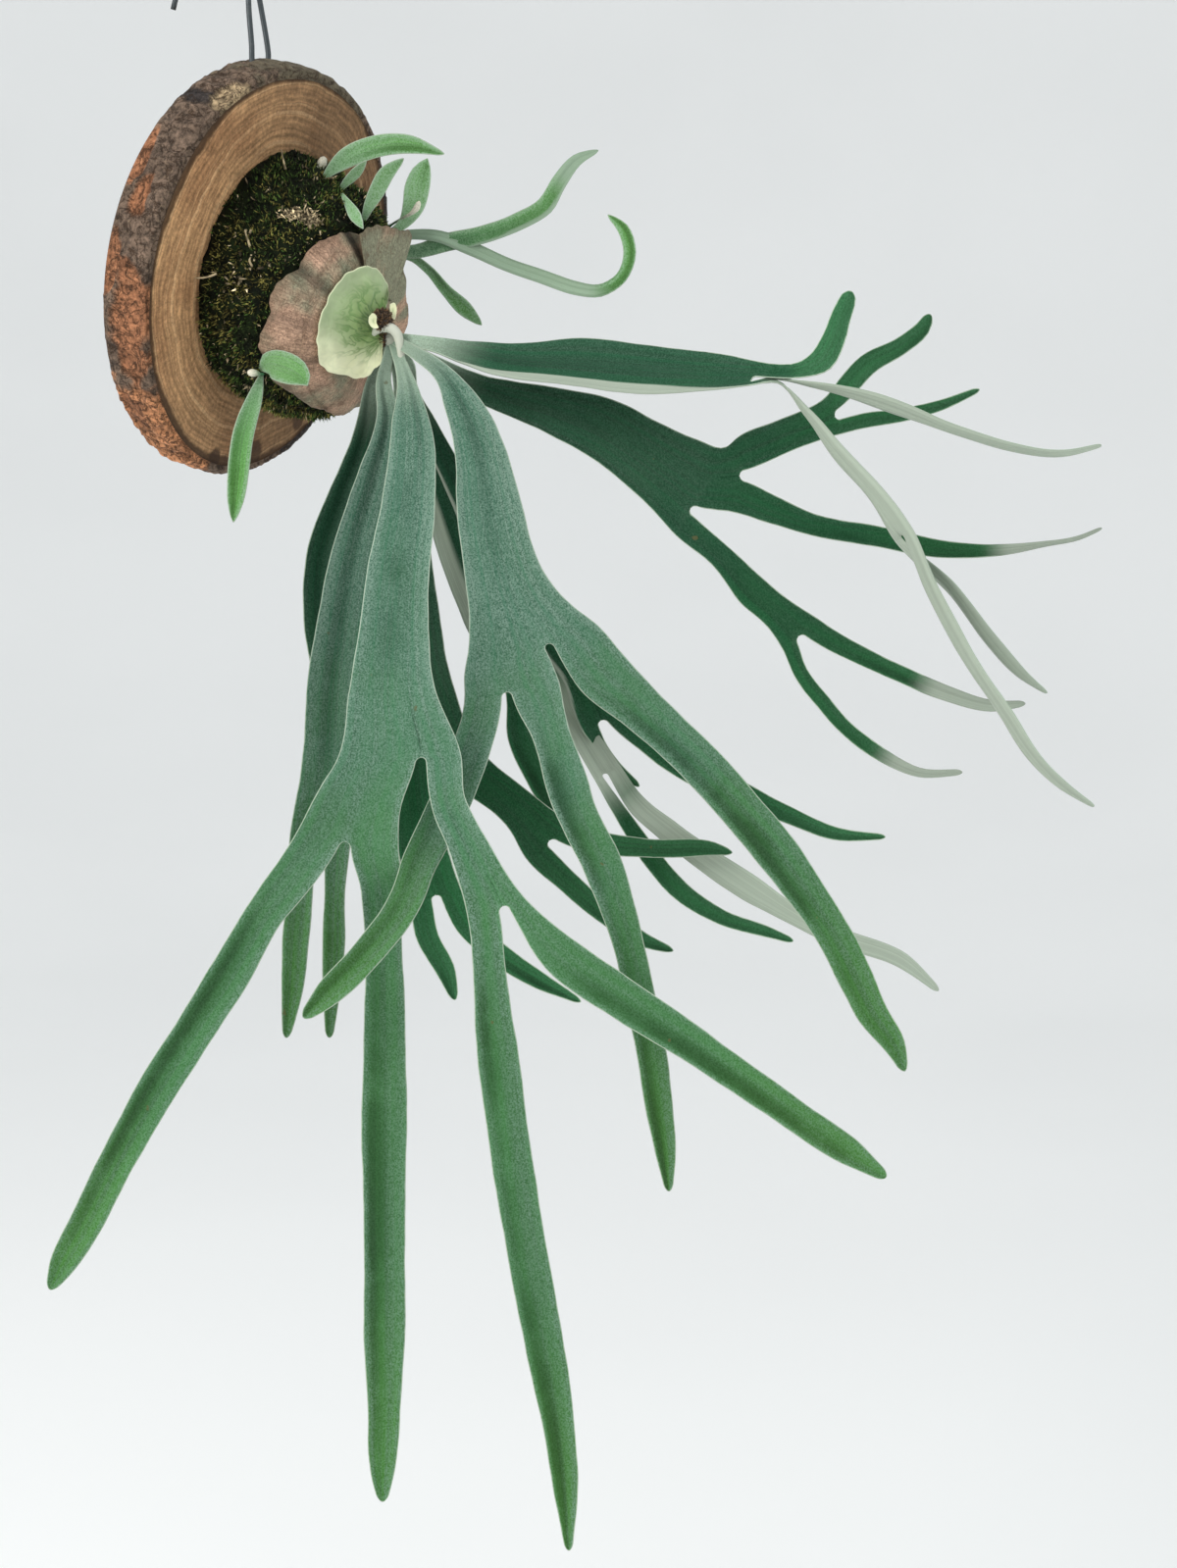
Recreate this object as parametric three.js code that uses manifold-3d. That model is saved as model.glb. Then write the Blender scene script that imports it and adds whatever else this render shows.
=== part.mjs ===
// Staghorn fern mounted on a live-edge log slice that hangs from a stiff wire hook.
// Millimetres, +Z up. The slice faces -Y and leans forward under the weight of the plant.
// The origin is the inner top of the hook, where it sits on its nail or rail.

import * as THREE from 'three';
import { mergeVertices } from 'three/addons/utils/BufferGeometryUtils.js';
import Module from 'manifold-3d';

const wasm = await Module();
wasm.setup();

// Log slice
const SLICE_RADIUS = 107;
const SLICE_OVAL = 1.4;
const SLICE_LOBE = 1.2;
const SLICE_THICKNESS = 26.4;
const SLICE_LEAN = 17.5;
const SLICE_SIDES = 60;
const BARK_THICKNESS = 4.5;
const BARK_GROOVE = 0.6;
const BARK_RELIEF = 0.9;

// Wire hanger
const WIRE_DIAMETER = 2.8;
const WIRE_SIDES = 8;
const HOOK_RADIUS = 22;
const HOOK_TAIL_DROP = 34;
const HOOK_TAIL_FLARE = 6;
const RIM_BELOW_SEAT = 84;
const LEG_SPREAD = 15;
const LEG_SET_FORWARD = 3;
const LEG_SINK = 12;
const LEG_DEPTH = 21;
const LEGS_OFF_CENTRE = 28;
const WRAP_TURNS = 3;
const WRAP_PITCH = 3.6;
const WRAP_START_BELOW_SEAT = 41;

// Root ball under its moss, a dome on the face of the slice
const MOUND_HALF_WIDTH = 64;
const MOUND_HALF_HEIGHT = 63;
const MOUND_DEPTH = 71;
const MOUND_FULLNESS = 2.7;
const MOUND_RELIEF = 0.6;
const APEX_ACROSS_FACE = -10;
const APEX_UP_FACE = -13;

// Rhizome at the top of the mound, where the fronds start
const CROWN_RADIUS = 13;

// Blades
const BLADE_THICKNESS = 1.3;
const STALK_THICKNESS = 3.2;
const STALK_FADE = 40;
const GUTTER = 0.1;
const WAVE_HEIGHT = 1.4;
const WAVE_LENGTH = 95;
const SINUS_RADIUS = 2.2;
const SINUS_FADE = 60;
const ROW_STEP = 19;
const GAP = 0.3;

const degrees = THREE.MathUtils.degToRad;
const vector = (x, y, z) => new THREE.Vector3(x, y, z);

// The face of the slice: ACROSS and UP lie in it, OUT stands on it
const lean = degrees(SLICE_LEAN);
const FACE_ACROSS = vector(1, 0, 0);
const FACE_UP = vector(0, -Math.sin(lean), Math.cos(lean));
const FACE_OUT = vector(0, -Math.cos(lean), -Math.sin(lean));
const RIM_AT_LEGS = Math.sqrt(SLICE_RADIUS ** 2 - LEGS_OFF_CENTRE ** 2);
const legFoot = FACE_UP.clone().multiplyScalar(RIM_AT_LEGS).addScaledVector(FACE_OUT, -LEG_DEPTH);
const FACE_CENTRE = vector(
  LEGS_OFF_CENTRE,
  -HOOK_RADIUS - LEG_SET_FORWARD - legFoot.y,
  -RIM_BELOW_SEAT - legFoot.z,
);

function onFace(across, up, out) {
  return FACE_CENTRE.clone()
    .addScaledVector(FACE_ACROSS, across)
    .addScaledVector(FACE_UP, up)
    .addScaledVector(FACE_OUT, out);
}

// The foliage is laid out on an upright sheet through the crown. Across and down are measured
// on the sheet from the crown, toward is the distance out of the sheet to the viewer's side.
const CROWN = onFace(APEX_ACROSS_FACE, APEX_UP_FACE, MOUND_DEPTH + CROWN_RADIUS + 2 * GAP);
const VIEW_TURN = degrees(-65);
const VIEW_PITCH = degrees(5);
const VIEW_DISTANCE = 1110;
const CROWN_LEFT_OF_SIGHT = 100;
const CROWN_ABOVE_SIGHT = 227;
const SHEET_RIGHT = vector(Math.cos(VIEW_TURN), Math.sin(VIEW_TURN), 0);
const sightLevel = vector(Math.sin(VIEW_TURN), -Math.cos(VIEW_TURN), 0);
const SHEET_TOWARD = sightLevel.clone().multiplyScalar(Math.cos(VIEW_PITCH))
  .add(vector(0, 0, Math.sin(VIEW_PITCH)));
const SHEET_UP = sightLevel.clone().multiplyScalar(-Math.sin(VIEW_PITCH))
  .add(vector(0, 0, Math.cos(VIEW_PITCH)));
const EYE = CROWN.clone()
  .addScaledVector(SHEET_RIGHT, CROWN_LEFT_OF_SIGHT)
  .addScaledVector(SHEET_UP, -CROWN_ABOVE_SIGHT)
  .addScaledVector(SHEET_TOWARD, VIEW_DISTANCE);

function place(across, down, toward) {
  const near = (VIEW_DISTANCE - toward) / VIEW_DISTANCE;
  return EYE.clone()
    .addScaledVector(SHEET_RIGHT, (across - CROWN_LEFT_OF_SIGHT) * near)
    .addScaledVector(SHEET_UP, (CROWN_ABOVE_SIGHT - down) * near)
    .addScaledVector(SHEET_TOWARD, -VIEW_DISTANCE * near);
}

// Stations are [across, down, toward, width, roll]. A strip with a split has two arms, the first
// on its left as it hangs down, and share is the part of its width that goes to that arm.
const BIG_FRONDS = {
  frond_front_centre: {
    spine: [
      [5, 15, 9, 7], [10, 48, 35, 21], [8, 86, 58, 27], [4, 112, 70, 31],
      [1, 148, 84, 35], [0, 182, 95, 44], [3, 215, 103, 64],
    ],
    share: 0.68,
    arms: [
      {
        spine: [[-16, 236, 106, 44], [-22, 257, 107, 53]],
        share: 0.47,
        arms: [
          {
            spine: [
              [-48, 272, 109, 23], [-67, 297, 110, 20], [-84, 326, 110, 21], [-102, 354, 108, 20],
              [-120, 383, 105, 20], [-138, 415, 101, 18], [-156, 450, 97, 17], [-168, 472, 94, 13],
              [-174, 484, 92, 5],
            ],
          },
          {
            spine: [
              [-6, 280, 101, 23], [-5, 300, 96, 20], [-4, 328, 94, 20], [-4, 350, 94, 21],
              [-4, 401, 96, 23], [-4, 458, 98, 21], [-4, 502, 98, 21], [-4, 544, 98, 17],
              [-5, 578, 97, 12], [-5, 592, 96, 5],
            ],
          },
        ],
      },
      {
        spine: [[28, 237, 110, 20], [40, 262, 117, 21], [53, 291, 120, 31]],
        share: 0.62,
        arms: [
          {
            spine: [
              [50, 320, 121, 18], [52, 348, 120, 20], [56, 382, 118, 21], [64, 438, 114, 21],
              [71, 478, 110, 20], [78, 515, 107, 20], [84, 549, 104, 17], [88, 582, 102, 13],
              [90, 617, 100, 4],
            ],
          },
          {
            spine: [
              [86, 315, 124, 22], [120, 338, 126, 21], [162, 366, 125, 18], [204, 395, 120, 16],
              [232, 414, 114, 14], [251, 427, 108, 5],
            ],
          },
        ],
      },
    ],
  },
  frond_front_right: {
    spine: [
      [14.5, 9, 18.5, 7], [27, 19, 29, 10], [36, 34, 38, 18], [45, 59, 50, 26],
      [50, 90, 60, 34], [55, 113, 64, 39], [64, 132, 66, 52], [75, 157, 67, 70],
    ],
    share: 0.56,
    arms: [
      {
        spine: [[61, 180, 72, 49]],
        share: 0.44,
        arms: [
          {
            spine: [
              [43, 203, 80, 21], [31, 233, 94, 21], [21, 253, 101, 19], [14, 267, 106, 18],
              [5, 289, 113, 17], [-15, 316, 118, 16], [-32, 333, 119, 14], [-45, 346, 118, 5],
            ],
          },
          {
            spine: [
              [81, 204, 81, 21], [89, 227, 91, 22], [96, 246, 99, 20], [107, 268, 102, 20],
              [115, 290, 103, 18], [121, 312, 102, 16], [126, 334, 100, 16], [132, 364, 96, 15],
              [136, 391, 91, 14], [139, 413, 87, 11], [141, 434, 84, 4],
            ],
          },
        ],
      },
      {
        spine: [
          [106, 170, 70, 30], [127, 189, 72, 24], [160, 220, 77, 22], [176, 238, 79, 22],
          [194, 259, 82, 22], [209, 280, 84, 20], [225, 304, 86, 18], [236, 326, 86, 18],
          [245, 344, 85, 16], [256, 360, 83, 11], [261, 373, 82, 4],
        ],
      },
    ],
  },
  frond_left_front: {
    spine: [
      [-4, 18, 1, 7], [-2, 42, 15, 12], [-8, 72, 30, 20], [-17, 105, 42, 25],
      [-24, 142, 54, 27], [-29, 179, 62, 29], [-32, 222, 69, 29], [-37, 258, 73, 31],
    ],
    share: 0.5,
    arms: [
      { spine: [[-46, 282, 75, 14], [-49, 306, 75, 14], [-51, 332, 74, 11], [-54, 356, 72, 4]] },
      { spine: [[-30, 282, 75, 12], [-30, 305, 74, 12], [-31, 332, 72, 9], [-32, 356, 70, 4]] },
    ],
  },
  frond_left_back: {
    spine: [
      [-9, 20, -6, 7], [-13, 48, -2, 13], [-24, 82, 6, 18], [-32, 110, 12, 23],
      [-34, 147, 20, 22], [-31, 178, 26, 20], [-32, 198, 30, 22],
    ],
    share: 0.5,
    arms: [
      { spine: [[-37, 224, 34, 10], [-39, 248, 37, 4]] },
      { spine: [[-26, 224, 33, 10], [-25, 250, 36, 4]] },
    ],
  },
  frond_middle_back: {
    spine: [
      [12, 20, -3, 7], [26, 48, 8, 14], [29, 88, 22, 24], [31, 128, 34, 28],
      [35, 168, 44, 30], [46, 203, 50, 31], [57, 232, 52, 28], [80, 256, 52, 30],
    ],
    share: 0.5,
    arms: [
      { spine: [[91, 277, 51, 13], [106, 291, 50, 11], [127, 306, 49, 8], [143, 312, 48, 3]] },
      { spine: [[108, 258, 52, 13], [130, 260, 51, 10], [164, 260, 49, 7], [173, 262, 48, 3]] },
    ],
  },
  frond_hanging_back: {
    spine: [
      [4, 24, -11, 7], [6, 62, -6, 13], [6, 112, 4, 18], [8, 162, 14, 20],
      [10, 218, 24, 22], [15, 258, 32, 25], [22, 284, 36, 27],
    ],
    share: 0.5,
    arms: [
      { spine: [[19, 305, 38, 13], [27, 321, 39, 11], [32, 337, 39, 4]] },
      { spine: [[37, 299, 38, 13], [54, 314, 38, 12], [75, 327, 37, 9], [96, 338, 36, 3]] },
    ],
  },
  frond_right_low: {
    spine: [
      [20, 12, 4, 7], [37, 36, 14, 13], [54, 78, 26, 22], [73, 122, 36, 28],
      [92, 162, 44, 34], [106, 192, 48, 40],
    ],
    share: 0.35,
    arms: [
      { spine: [[101, 212, 48, 11], [112, 222, 47, 9], [126, 228, 46, 3]] },
      {
        spine: [
          [130, 202, 50, 17], [152, 216, 52, 15], [180, 233, 53, 12], [200, 242, 53, 9],
          [225, 252, 52, 7], [251, 254, 50, 3],
        ],
      },
    ],
  },
  frond_right_pale: {
    spine: [
      [10, 20, -18, 7], [34, 60, -14, 14], [52, 106, -4, 22], [64, 146, 6, 28], [72, 172, 14, 34],
    ],
    share: 0.42,
    arms: [
      {
        spine: [
          [62, 200, 20, 15], [73, 222, 24, 14], [88, 246, 26, 12], [105, 266, 26, 9],
          [121, 279, 25, 3],
        ],
      },
      {
        spine: [[97, 204, 24, 22], [112, 226, 28, 24]],
        share: 0.5,
        arms: [
          {
            spine: [
              [122, 250, 30, 12], [134, 269, 31, 12], [150, 286, 31, 11], [168, 295, 30, 8],
              [190, 302, 28, 6], [204, 307, 26, 3],
            ],
          },
          {
            spine: [
              [127, 231, 31, 13], [145, 247, 34, 13], [159, 262, 35, 13], [185, 282, 35, 13],
              [203, 293, 34, 10], [225, 304, 32, 10], [260, 317, 28, 8], [278, 332, 25, 3],
            ],
          },
        ],
      },
    ],
  },
  frond_outer_top: {
    spine: [
      [20, 3, 11, 8, 20], [38, 7, 19, 15, 35], [54, 10, 25, 22, 42], [89, 12, 38, 30, 48],
      [119, 13, 52, 35, 50], [146, 15, 62, 36, 50], [167, 16, 70, 36, 50], [190, 20, 76, 34, 50],
    ],
    share: 0.5,
    arms: [
      {
        spine: [
          [207, 38, 82, 17, 80], [224, 54, 85, 17, 105], [242, 78, 88, 18, 115],
          [258, 101, 90, 24, 118],
        ],
        share: 0.5,
        arms: [
          {
            spine: [
              [275, 132, 92, 15, 118], [290, 160, 92, 14, 118], [310, 191, 90, 14, 118],
              [326, 214, 88, 12, 118], [342, 230, 85, 9, 118], [357, 240, 82, 3, 118],
            ],
          },
          {
            spine: [
              [284, 128, 86, 14, 118], [303, 155, 82, 12, 118], [319, 172, 80, 10, 118],
              [333, 182, 78, 3, 118],
            ],
          },
        ],
      },
      {
        spine: [[206, 20, 82, 22, 58]],
        share: 0.5,
        arms: [
          {
            spine: [
              [230, 30, 90, 13, 90], [259, 40, 96, 13, 115], [288, 49, 100, 12, 115],
              [315, 56, 102, 10, 115], [342, 60, 102, 7, 115], [362, 56, 100, 3, 115],
            ],
          },
          { spine: [[219, 12, 84, 11, 30], [226, -2, 86, 10, 10], [230, -13, 87, 9], [233, -23, 87, 3]] },
        ],
      },
    ],
  },
  frond_outer_low: {
    spine: [
      [23, 13, -12, 7], [42, 24, -4, 13], [62, 31, 5, 18], [80, 36, 14, 23],
      [107, 46, 22, 31], [127, 58, 28, 35], [145, 70, 34, 42], [158, 78, 38, 51],
    ],
    share: 0.3,
    arms: [
      {
        spine: [[169, 112, 40, 14], [183, 128, 42, 17], [198, 141, 44, 18], [208, 151, 45, 24]],
        share: 0.45,
        arms: [
          {
            spine: [
              [209, 170, 46, 9], [220, 185, 47, 9], [231, 198, 47, 8], [249, 212, 47, 7],
              [268, 221, 46, 5], [290, 221, 44, 3],
            ],
          },
          {
            spine: [
              [224, 155, 46, 12], [236, 161, 46, 11], [259, 171, 46, 9], [283, 181, 45, 8],
              [305, 187, 44, 6], [322, 186, 42, 3],
            ],
          },
        ],
      },
      {
        spine: [[177, 70, 42, 39]],
        share: 0.5,
        arms: [
          {
            spine: [
              [193, 86, 43, 16], [213, 94, 44, 12], [248, 101, 46, 11], [278, 107, 47, 9],
              [312, 109, 48, 7, 40], [334, 106, 48, 6, 70], [350, 103, 47, 5, 70],
              [362, 98, 46, 3, 70],
            ],
          },
          {
            spine: [[200, 50, 42, 18], [225, 39, 42, 21]],
            share: 0.45,
            arms: [
              { spine: [[241, 41, 43, 9], [256, 39, 44, 8], [279, 34, 45, 6], [299, 26, 45, 3]] },
              {
                spine: [
                  [233, 24, 43, 12], [242, 14, 44, 11], [258, 5, 45, 9], [270, -5, 45, 7],
                  [274, -12, 45, 3],
                ],
              },
            ],
          },
        ],
      },
    ],
  },
};

// Young leaves that grow out of the moss. Their first station stands on the mound, and toward
// is measured from there.
const YOUNG_LEAVES = {
  strap_upper: {
    behind: true,
    spine: [
      [-3, -45, 0, 5], [12, -47, 2, 7], [28, -50, 9, 9], [46, -53, 15, 9], [65, -60, 18, 9],
      [78, -68, 22, 9], [85, -80, 25, 8], [94, -91, 27, 6], [105, -96, 28, 2],
    ],
  },
  strap_curled: {
    behind: true,
    spine: [
      [-6, -51, 0, 5], [9, -55, 2, 6], [22, -56, 1, 7], [39, -52, 1, 8], [58, -38, 5, 8],
      [78, -32, 11, 8], [96, -25, 16, 8], [106, -24, 18, 8], [116, -31, 20, 8], [121, -44, 21, 7],
      [117, -56, 22, 6], [110, -63, 22, 2],
    ],
  },
  strap_lower: {
    behind: true,
    spine: [
      [-2, -38, 0, 5], [8, -41, -2, 6], [19, -35, -3, 7], [29, -24, 0, 8], [38, -15, 4, 6],
      [45, -9, 8, 2],
    ],
  },
  pup_broad: {
    spine: [
      [-35, -82, 0, 3], [-25, -91, 4, 11], [-8, -98, 8, 11], [10, -99, 12, 9], [27, -94, 16, 2],
    ],
  },
  pup_small_top: { spine: [[-26, -77, 0, 3], [-19, -84, 6, 6], [-13, -91, 10, 2]] },
  pup_slim: { spine: [[-16, -61, 0, 3], [-8, -75, 4, 8], [-3, -84, 7, 8], [6, -92, 10, 2]] },
  pup_oval: {
    behind: true,
    spine: [
      [-2, -53, 0, 3], [5, -58, 2, 4], [10, -67, 4, 9], [12, -76, 6, 12], [15, -85, 8, 10],
      [18, -92, 10, 2],
    ],
  },
  pup_small_low: { spine: [[-25, -73, 0, 4], [-21, -66, 9, 7], [-17, -60, 13, 2]] },
  pup_left_oval: { spine: [[-72, 12, 0, 4], [-60, 16, 14, 12], [-49, 21, 22, 13], [-41, 25, 26, 3]] },
  pup_left_strap: {
    spine: [
      [-68, 20, 0, 5], [-72, 35, 8, 9], [-76, 52, 14, 11], [-78, 68, 17, 11], [-80, 84, 19, 8],
      [-81, 93, 20, 2],
    ],
  },
};

// Unopened buds in the moss: [across, down, half width, half length, behind]
const MOSS_BUDS = {
  bud_top: [-36, -89, 2.2, 4.5],
  bud_right: [-4, -57, 1.8, 4, true],
  bud_left: [-76, 14, 2, 3],
};

// Colours and finishes
function finish(color, roughness, metalness = 0) {
  return new THREE.MeshStandardMaterial({ color, roughness, metalness });
}

const WOOD = finish(0xa88a66, 0.85);
const STEEL = finish(0x3b3d40, 0.5, 0.8);
const MOSS = finish(0x2c3a20, 1);
const RHIZOME = finish(0x6b5138, 0.95);
const OLD_SHIELD = finish(0xa08672, 0.9);
const FRESH_SHIELD = finish(0xb5c47a, 0.6);
const FRONT_FROND = finish(0x5f8a72, 0.7);
const BACK_FROND = finish(0x2f5a3c, 0.7);
const YOUNG_LEAF = finish(0x7fae4c, 0.6);

const part = new THREE.Group();

function addPiece(name, geometry, material) {
  const mesh = new THREE.Mesh(geometry, material);
  mesh.name = name;
  part.add(mesh);
}

// Closed meshes and solids
function meshFrom(triangles) {
  const geometry = new THREE.BufferGeometry();
  geometry.setAttribute('position', new THREE.Float32BufferAttribute(
    triangles.flatMap((point) => [point.x, point.y, point.z]), 3));
  return mergeVertices(geometry, 1e-4);
}

function toSolid(geometry) {
  const bare = geometry.clone();
  bare.deleteAttribute('normal');
  bare.deleteAttribute('uv');
  const merged = mergeVertices(bare, 1e-4);
  return new wasm.Manifold(new wasm.Mesh({
    numProp: 3,
    vertProperties: new Float32Array(merged.attributes.position.array),
    triVerts: new Uint32Array(merged.index.array),
  }));
}

function fromSolid(solid) {
  const { vertProperties, triVerts } = solid.getMesh();
  const geometry = new THREE.BufferGeometry();
  geometry.setAttribute('position', new THREE.BufferAttribute(vertProperties, 3));
  geometry.setIndex(new THREE.BufferAttribute(triVerts, 1));
  return geometry;
}

// A skin over closed rings of equal length, ended by a point at each end
function skinRings(start, rings, end) {
  const triangles = [];
  const count = rings[0].length;
  for (let i = 0; i < count; i += 1) {
    const next = (i + 1) % count;
    triangles.push(start, rings[0][i], rings[0][next]);
    for (let r = 0; r + 1 < rings.length; r += 1) {
      triangles.push(rings[r][i], rings[r + 1][i], rings[r + 1][next]);
      triangles.push(rings[r][i], rings[r + 1][next], rings[r][next]);
    }
    triangles.push(end, rings.at(-1)[next], rings.at(-1)[i]);
  }
  return meshFrom(triangles);
}

// Log slice: a sawn face, a groove where the bark meets the wood, ridged bark, a sawn back
function sliceRadius(angle) {
  return SLICE_RADIUS + SLICE_OVAL * Math.cos(angle - degrees(215))
    + SLICE_LOBE * Math.cos(3 * angle - degrees(96));
}

function barkRidge(angle, depth) {
  return BARK_RELIEF * (Math.sin(23 * angle + 0.22 * depth) * 0.6 + Math.sin(11 * angle - 0.3 * depth));
}

function logSlice() {
  const steps = [
    [0, -BARK_THICKNESS, 0], [-BARK_GROOVE, 0.7 - BARK_THICKNESS, 0], [-0.2, -1.6, 0.2],
    [-3, 0, 1], [-9, 0.8, 1], [-16, 0.8, 1], [-22, 0, 1], [-SLICE_THICKNESS, -2.5, 0],
  ];
  const rings = steps.map(([out, grow, ridge]) => {
    const ring = [];
    for (let i = 0; i < SLICE_SIDES; i += 1) {
      const angle = (i / SLICE_SIDES) * 2 * Math.PI;
      const radius = sliceRadius(angle) + grow + ridge * barkRidge(angle, out);
      ring.push(onFace(radius * Math.cos(angle), radius * Math.sin(angle), out));
    }
    return ring;
  });
  const block = skinRings(onFace(0, 0, 0), rings, onFace(0, 0, -SLICE_THICKNESS));
  let solid = toSolid(block);
  for (const side of [-1, 1]) {
    const drill = new THREE.CylinderGeometry(
      WIRE_DIAMETER / 2 + GAP, WIRE_DIAMETER / 2 + GAP, 4 * LEG_SINK, 12);
    drill.rotateX(Math.PI / 2);
    drill.translate(
      side * LEG_SPREAD / 2, -HOOK_RADIUS - LEG_SET_FORWARD, LEG_SINK - GAP - RIM_BELOW_SEAT);
    solid = solid.subtract(toSolid(drill));
  }
  return fromSolid(solid);
}

// Wire
function wireAlong(path, steps) {
  const section = new THREE.Shape();
  section.absarc(0, 0, WIRE_DIAMETER / 2, 0, 2 * Math.PI);
  const tube = new THREE.ExtrudeGeometry(section, {
    steps, extrudePath: path, bevelEnabled: false, curveSegments: WIRE_SIDES / 2,
  });
  return fromSolid(toSolid(tube));
}

function legPoints(side) {
  return [
    vector(side * LEG_SPREAD / 2, -HOOK_RADIUS - LEG_SET_FORWARD, -RIM_BELOW_SEAT - LEG_SINK),
    vector(side * LEG_SPREAD / 2, -HOOK_RADIUS - LEG_SET_FORWARD, -RIM_BELOW_SEAT),
    vector(side * LEG_SPREAD / 2, -HOOK_RADIUS - LEG_SET_FORWARD, -RIM_BELOW_SEAT + 4),
    vector(side * LEG_SPREAD * 0.36, -HOOK_RADIUS, -RIM_BELOW_SEAT + 28),
  ];
}

function hookWire() {
  const springing = WIRE_DIAMETER / 2 - HOOK_RADIUS;
  const points = legPoints(1);
  for (let below = WRAP_START_BELOW_SEAT; below > -springing; below -= 6) {
    points.push(vector(0, -HOOK_RADIUS, -below));
  }
  for (let turn = 0; turn <= 180; turn += 20) {
    points.push(vector(0, -HOOK_RADIUS * Math.cos(degrees(turn)),
      springing + HOOK_RADIUS * Math.sin(degrees(turn))));
  }
  points.push(vector(0, HOOK_RADIUS + 1, springing - HOOK_TAIL_DROP / 2));
  points.push(vector(0, HOOK_RADIUS + HOOK_TAIL_FLARE, springing - HOOK_TAIL_DROP));
  return wireAlong(new THREE.CatmullRomCurve3(points, false, 'centripetal'), 46);
}

function braceWire() {
  const wrapRadius = WIRE_DIAMETER + GAP + 0.1;
  const points = legPoints(-1);
  const stepsPerTurn = 12;
  for (let i = 0; i <= WRAP_TURNS * stepsPerTurn; i += 1) {
    const turn = Math.PI + (i / stepsPerTurn) * 2 * Math.PI;
    points.push(vector(wrapRadius * Math.cos(turn), -HOOK_RADIUS + wrapRadius * Math.sin(turn),
      -WRAP_START_BELOW_SEAT + 4 + (i / stepsPerTurn) * WRAP_PITCH));
  }
  return wireAlong(new THREE.CatmullRomCurve3(points, false, 'centripetal'), 58);
}

// The mound and the shields share one dome. Reach runs from 0 at its apex to 1 at its foot.
function domePoint(angle, reach, lift) {
  const bend = 2 / MOUND_FULLNESS;
  const spread = Math.sin(reach * Math.PI / 2) ** bend;
  const rise = Math.max(0, Math.cos(reach * Math.PI / 2)) ** bend;
  const out = rise * (MOUND_DEPTH + lift);
  return onFace(
    APEX_ACROSS_FACE * rise + spread * (MOUND_HALF_WIDTH + lift) * Math.cos(angle),
    APEX_UP_FACE * rise + spread * (MOUND_HALF_HEIGHT + lift) * Math.sin(angle),
    out + GAP);
}

function mossHeight(angle, reach) {
  const tufts = Math.sin(9 * angle + 5 * reach) * Math.sin(14 * reach + 3 * angle);
  const calm = Math.min(1, Math.max(0, (reach - 0.25) / 0.2));
  return MOUND_RELIEF * calm * (tufts - 1);
}

function mossMound() {
  const sides = 40;
  const rows = 13;
  const rings = [];
  for (let r = 1; r <= rows; r += 1) {
    const reach = r / rows;
    const ring = [];
    for (let i = 0; i < sides; i += 1) {
      const angle = (i / sides) * 2 * Math.PI;
      ring.push(domePoint(angle, reach, mossHeight(angle, reach)));
    }
    rings.push(ring);
  }
  return skinRings(domePoint(0, 0, 0), rings, onFace(0, 0, GAP));
}

// A sheet over the dome between two reaches. Its inner and outer skins are rowsUp x across grids.
function domeSheet({ from, to, near, far, lift, thick, across, along }) {
  const closed = to - from > 359;
  const columns = closed ? across : across + 1;
  const skin = (raise) => {
    const grid = [];
    for (let i = 0; i < columns; i += 1) {
      const share = i / across;
      const angle = degrees(from + (to - from) * share);
      const row = [];
      for (let j = 0; j <= along; j += 1) {
        const step = j / along;
        const reach = near + (far(angle) - near) * step;
        row.push(domePoint(angle, reach, lift(angle, step) + raise));
      }
      grid.push(row);
    }
    return grid;
  };
  const low = skin(0);
  const high = skin(thick);
  const triangles = [];
  const quad = (a, b, c, d) => triangles.push(a, b, c, a, c, d);
  const spans = closed ? columns : columns - 1;
  for (let i = 0; i < spans; i += 1) {
    const n = (i + 1) % columns;
    for (let j = 0; j < along; j += 1) {
      quad(high[i][j], high[i][j + 1], high[n][j + 1], high[n][j]);
      triangles.push(low[i][j], low[n][j + 1], low[i][j + 1]);
      triangles.push(low[i][j], low[n][j], low[n][j + 1]);
    }
    quad(high[i][0], high[n][0], low[n][0], low[i][0]);
    quad(high[n][along], high[i][along], low[i][along], low[n][along]);
  }
  if (!closed) {
    for (let j = 0; j < along; j += 1) {
      quad(high[0][j + 1], high[0][j], low[0][j], low[0][j + 1]);
      quad(high[spans][j], high[spans][j + 1], low[spans][j + 1], low[spans][j]);
    }
  }
  return meshFrom(triangles);
}

// Blades
function columnMarks(strip, from = 0, to = 1) {
  if (!strip.arms) {
    return [from, (from + to) / 2, to];
  }
  const cut = from + (to - from) * strip.share;
  return [...columnMarks(strip.arms[0], from, cut), ...columnMarks(strip.arms[1], cut, to).slice(1)];
}

function middleOf(points) {
  return points[0].clone().add(points.at(-1)).multiplyScalar(0.5);
}

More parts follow.
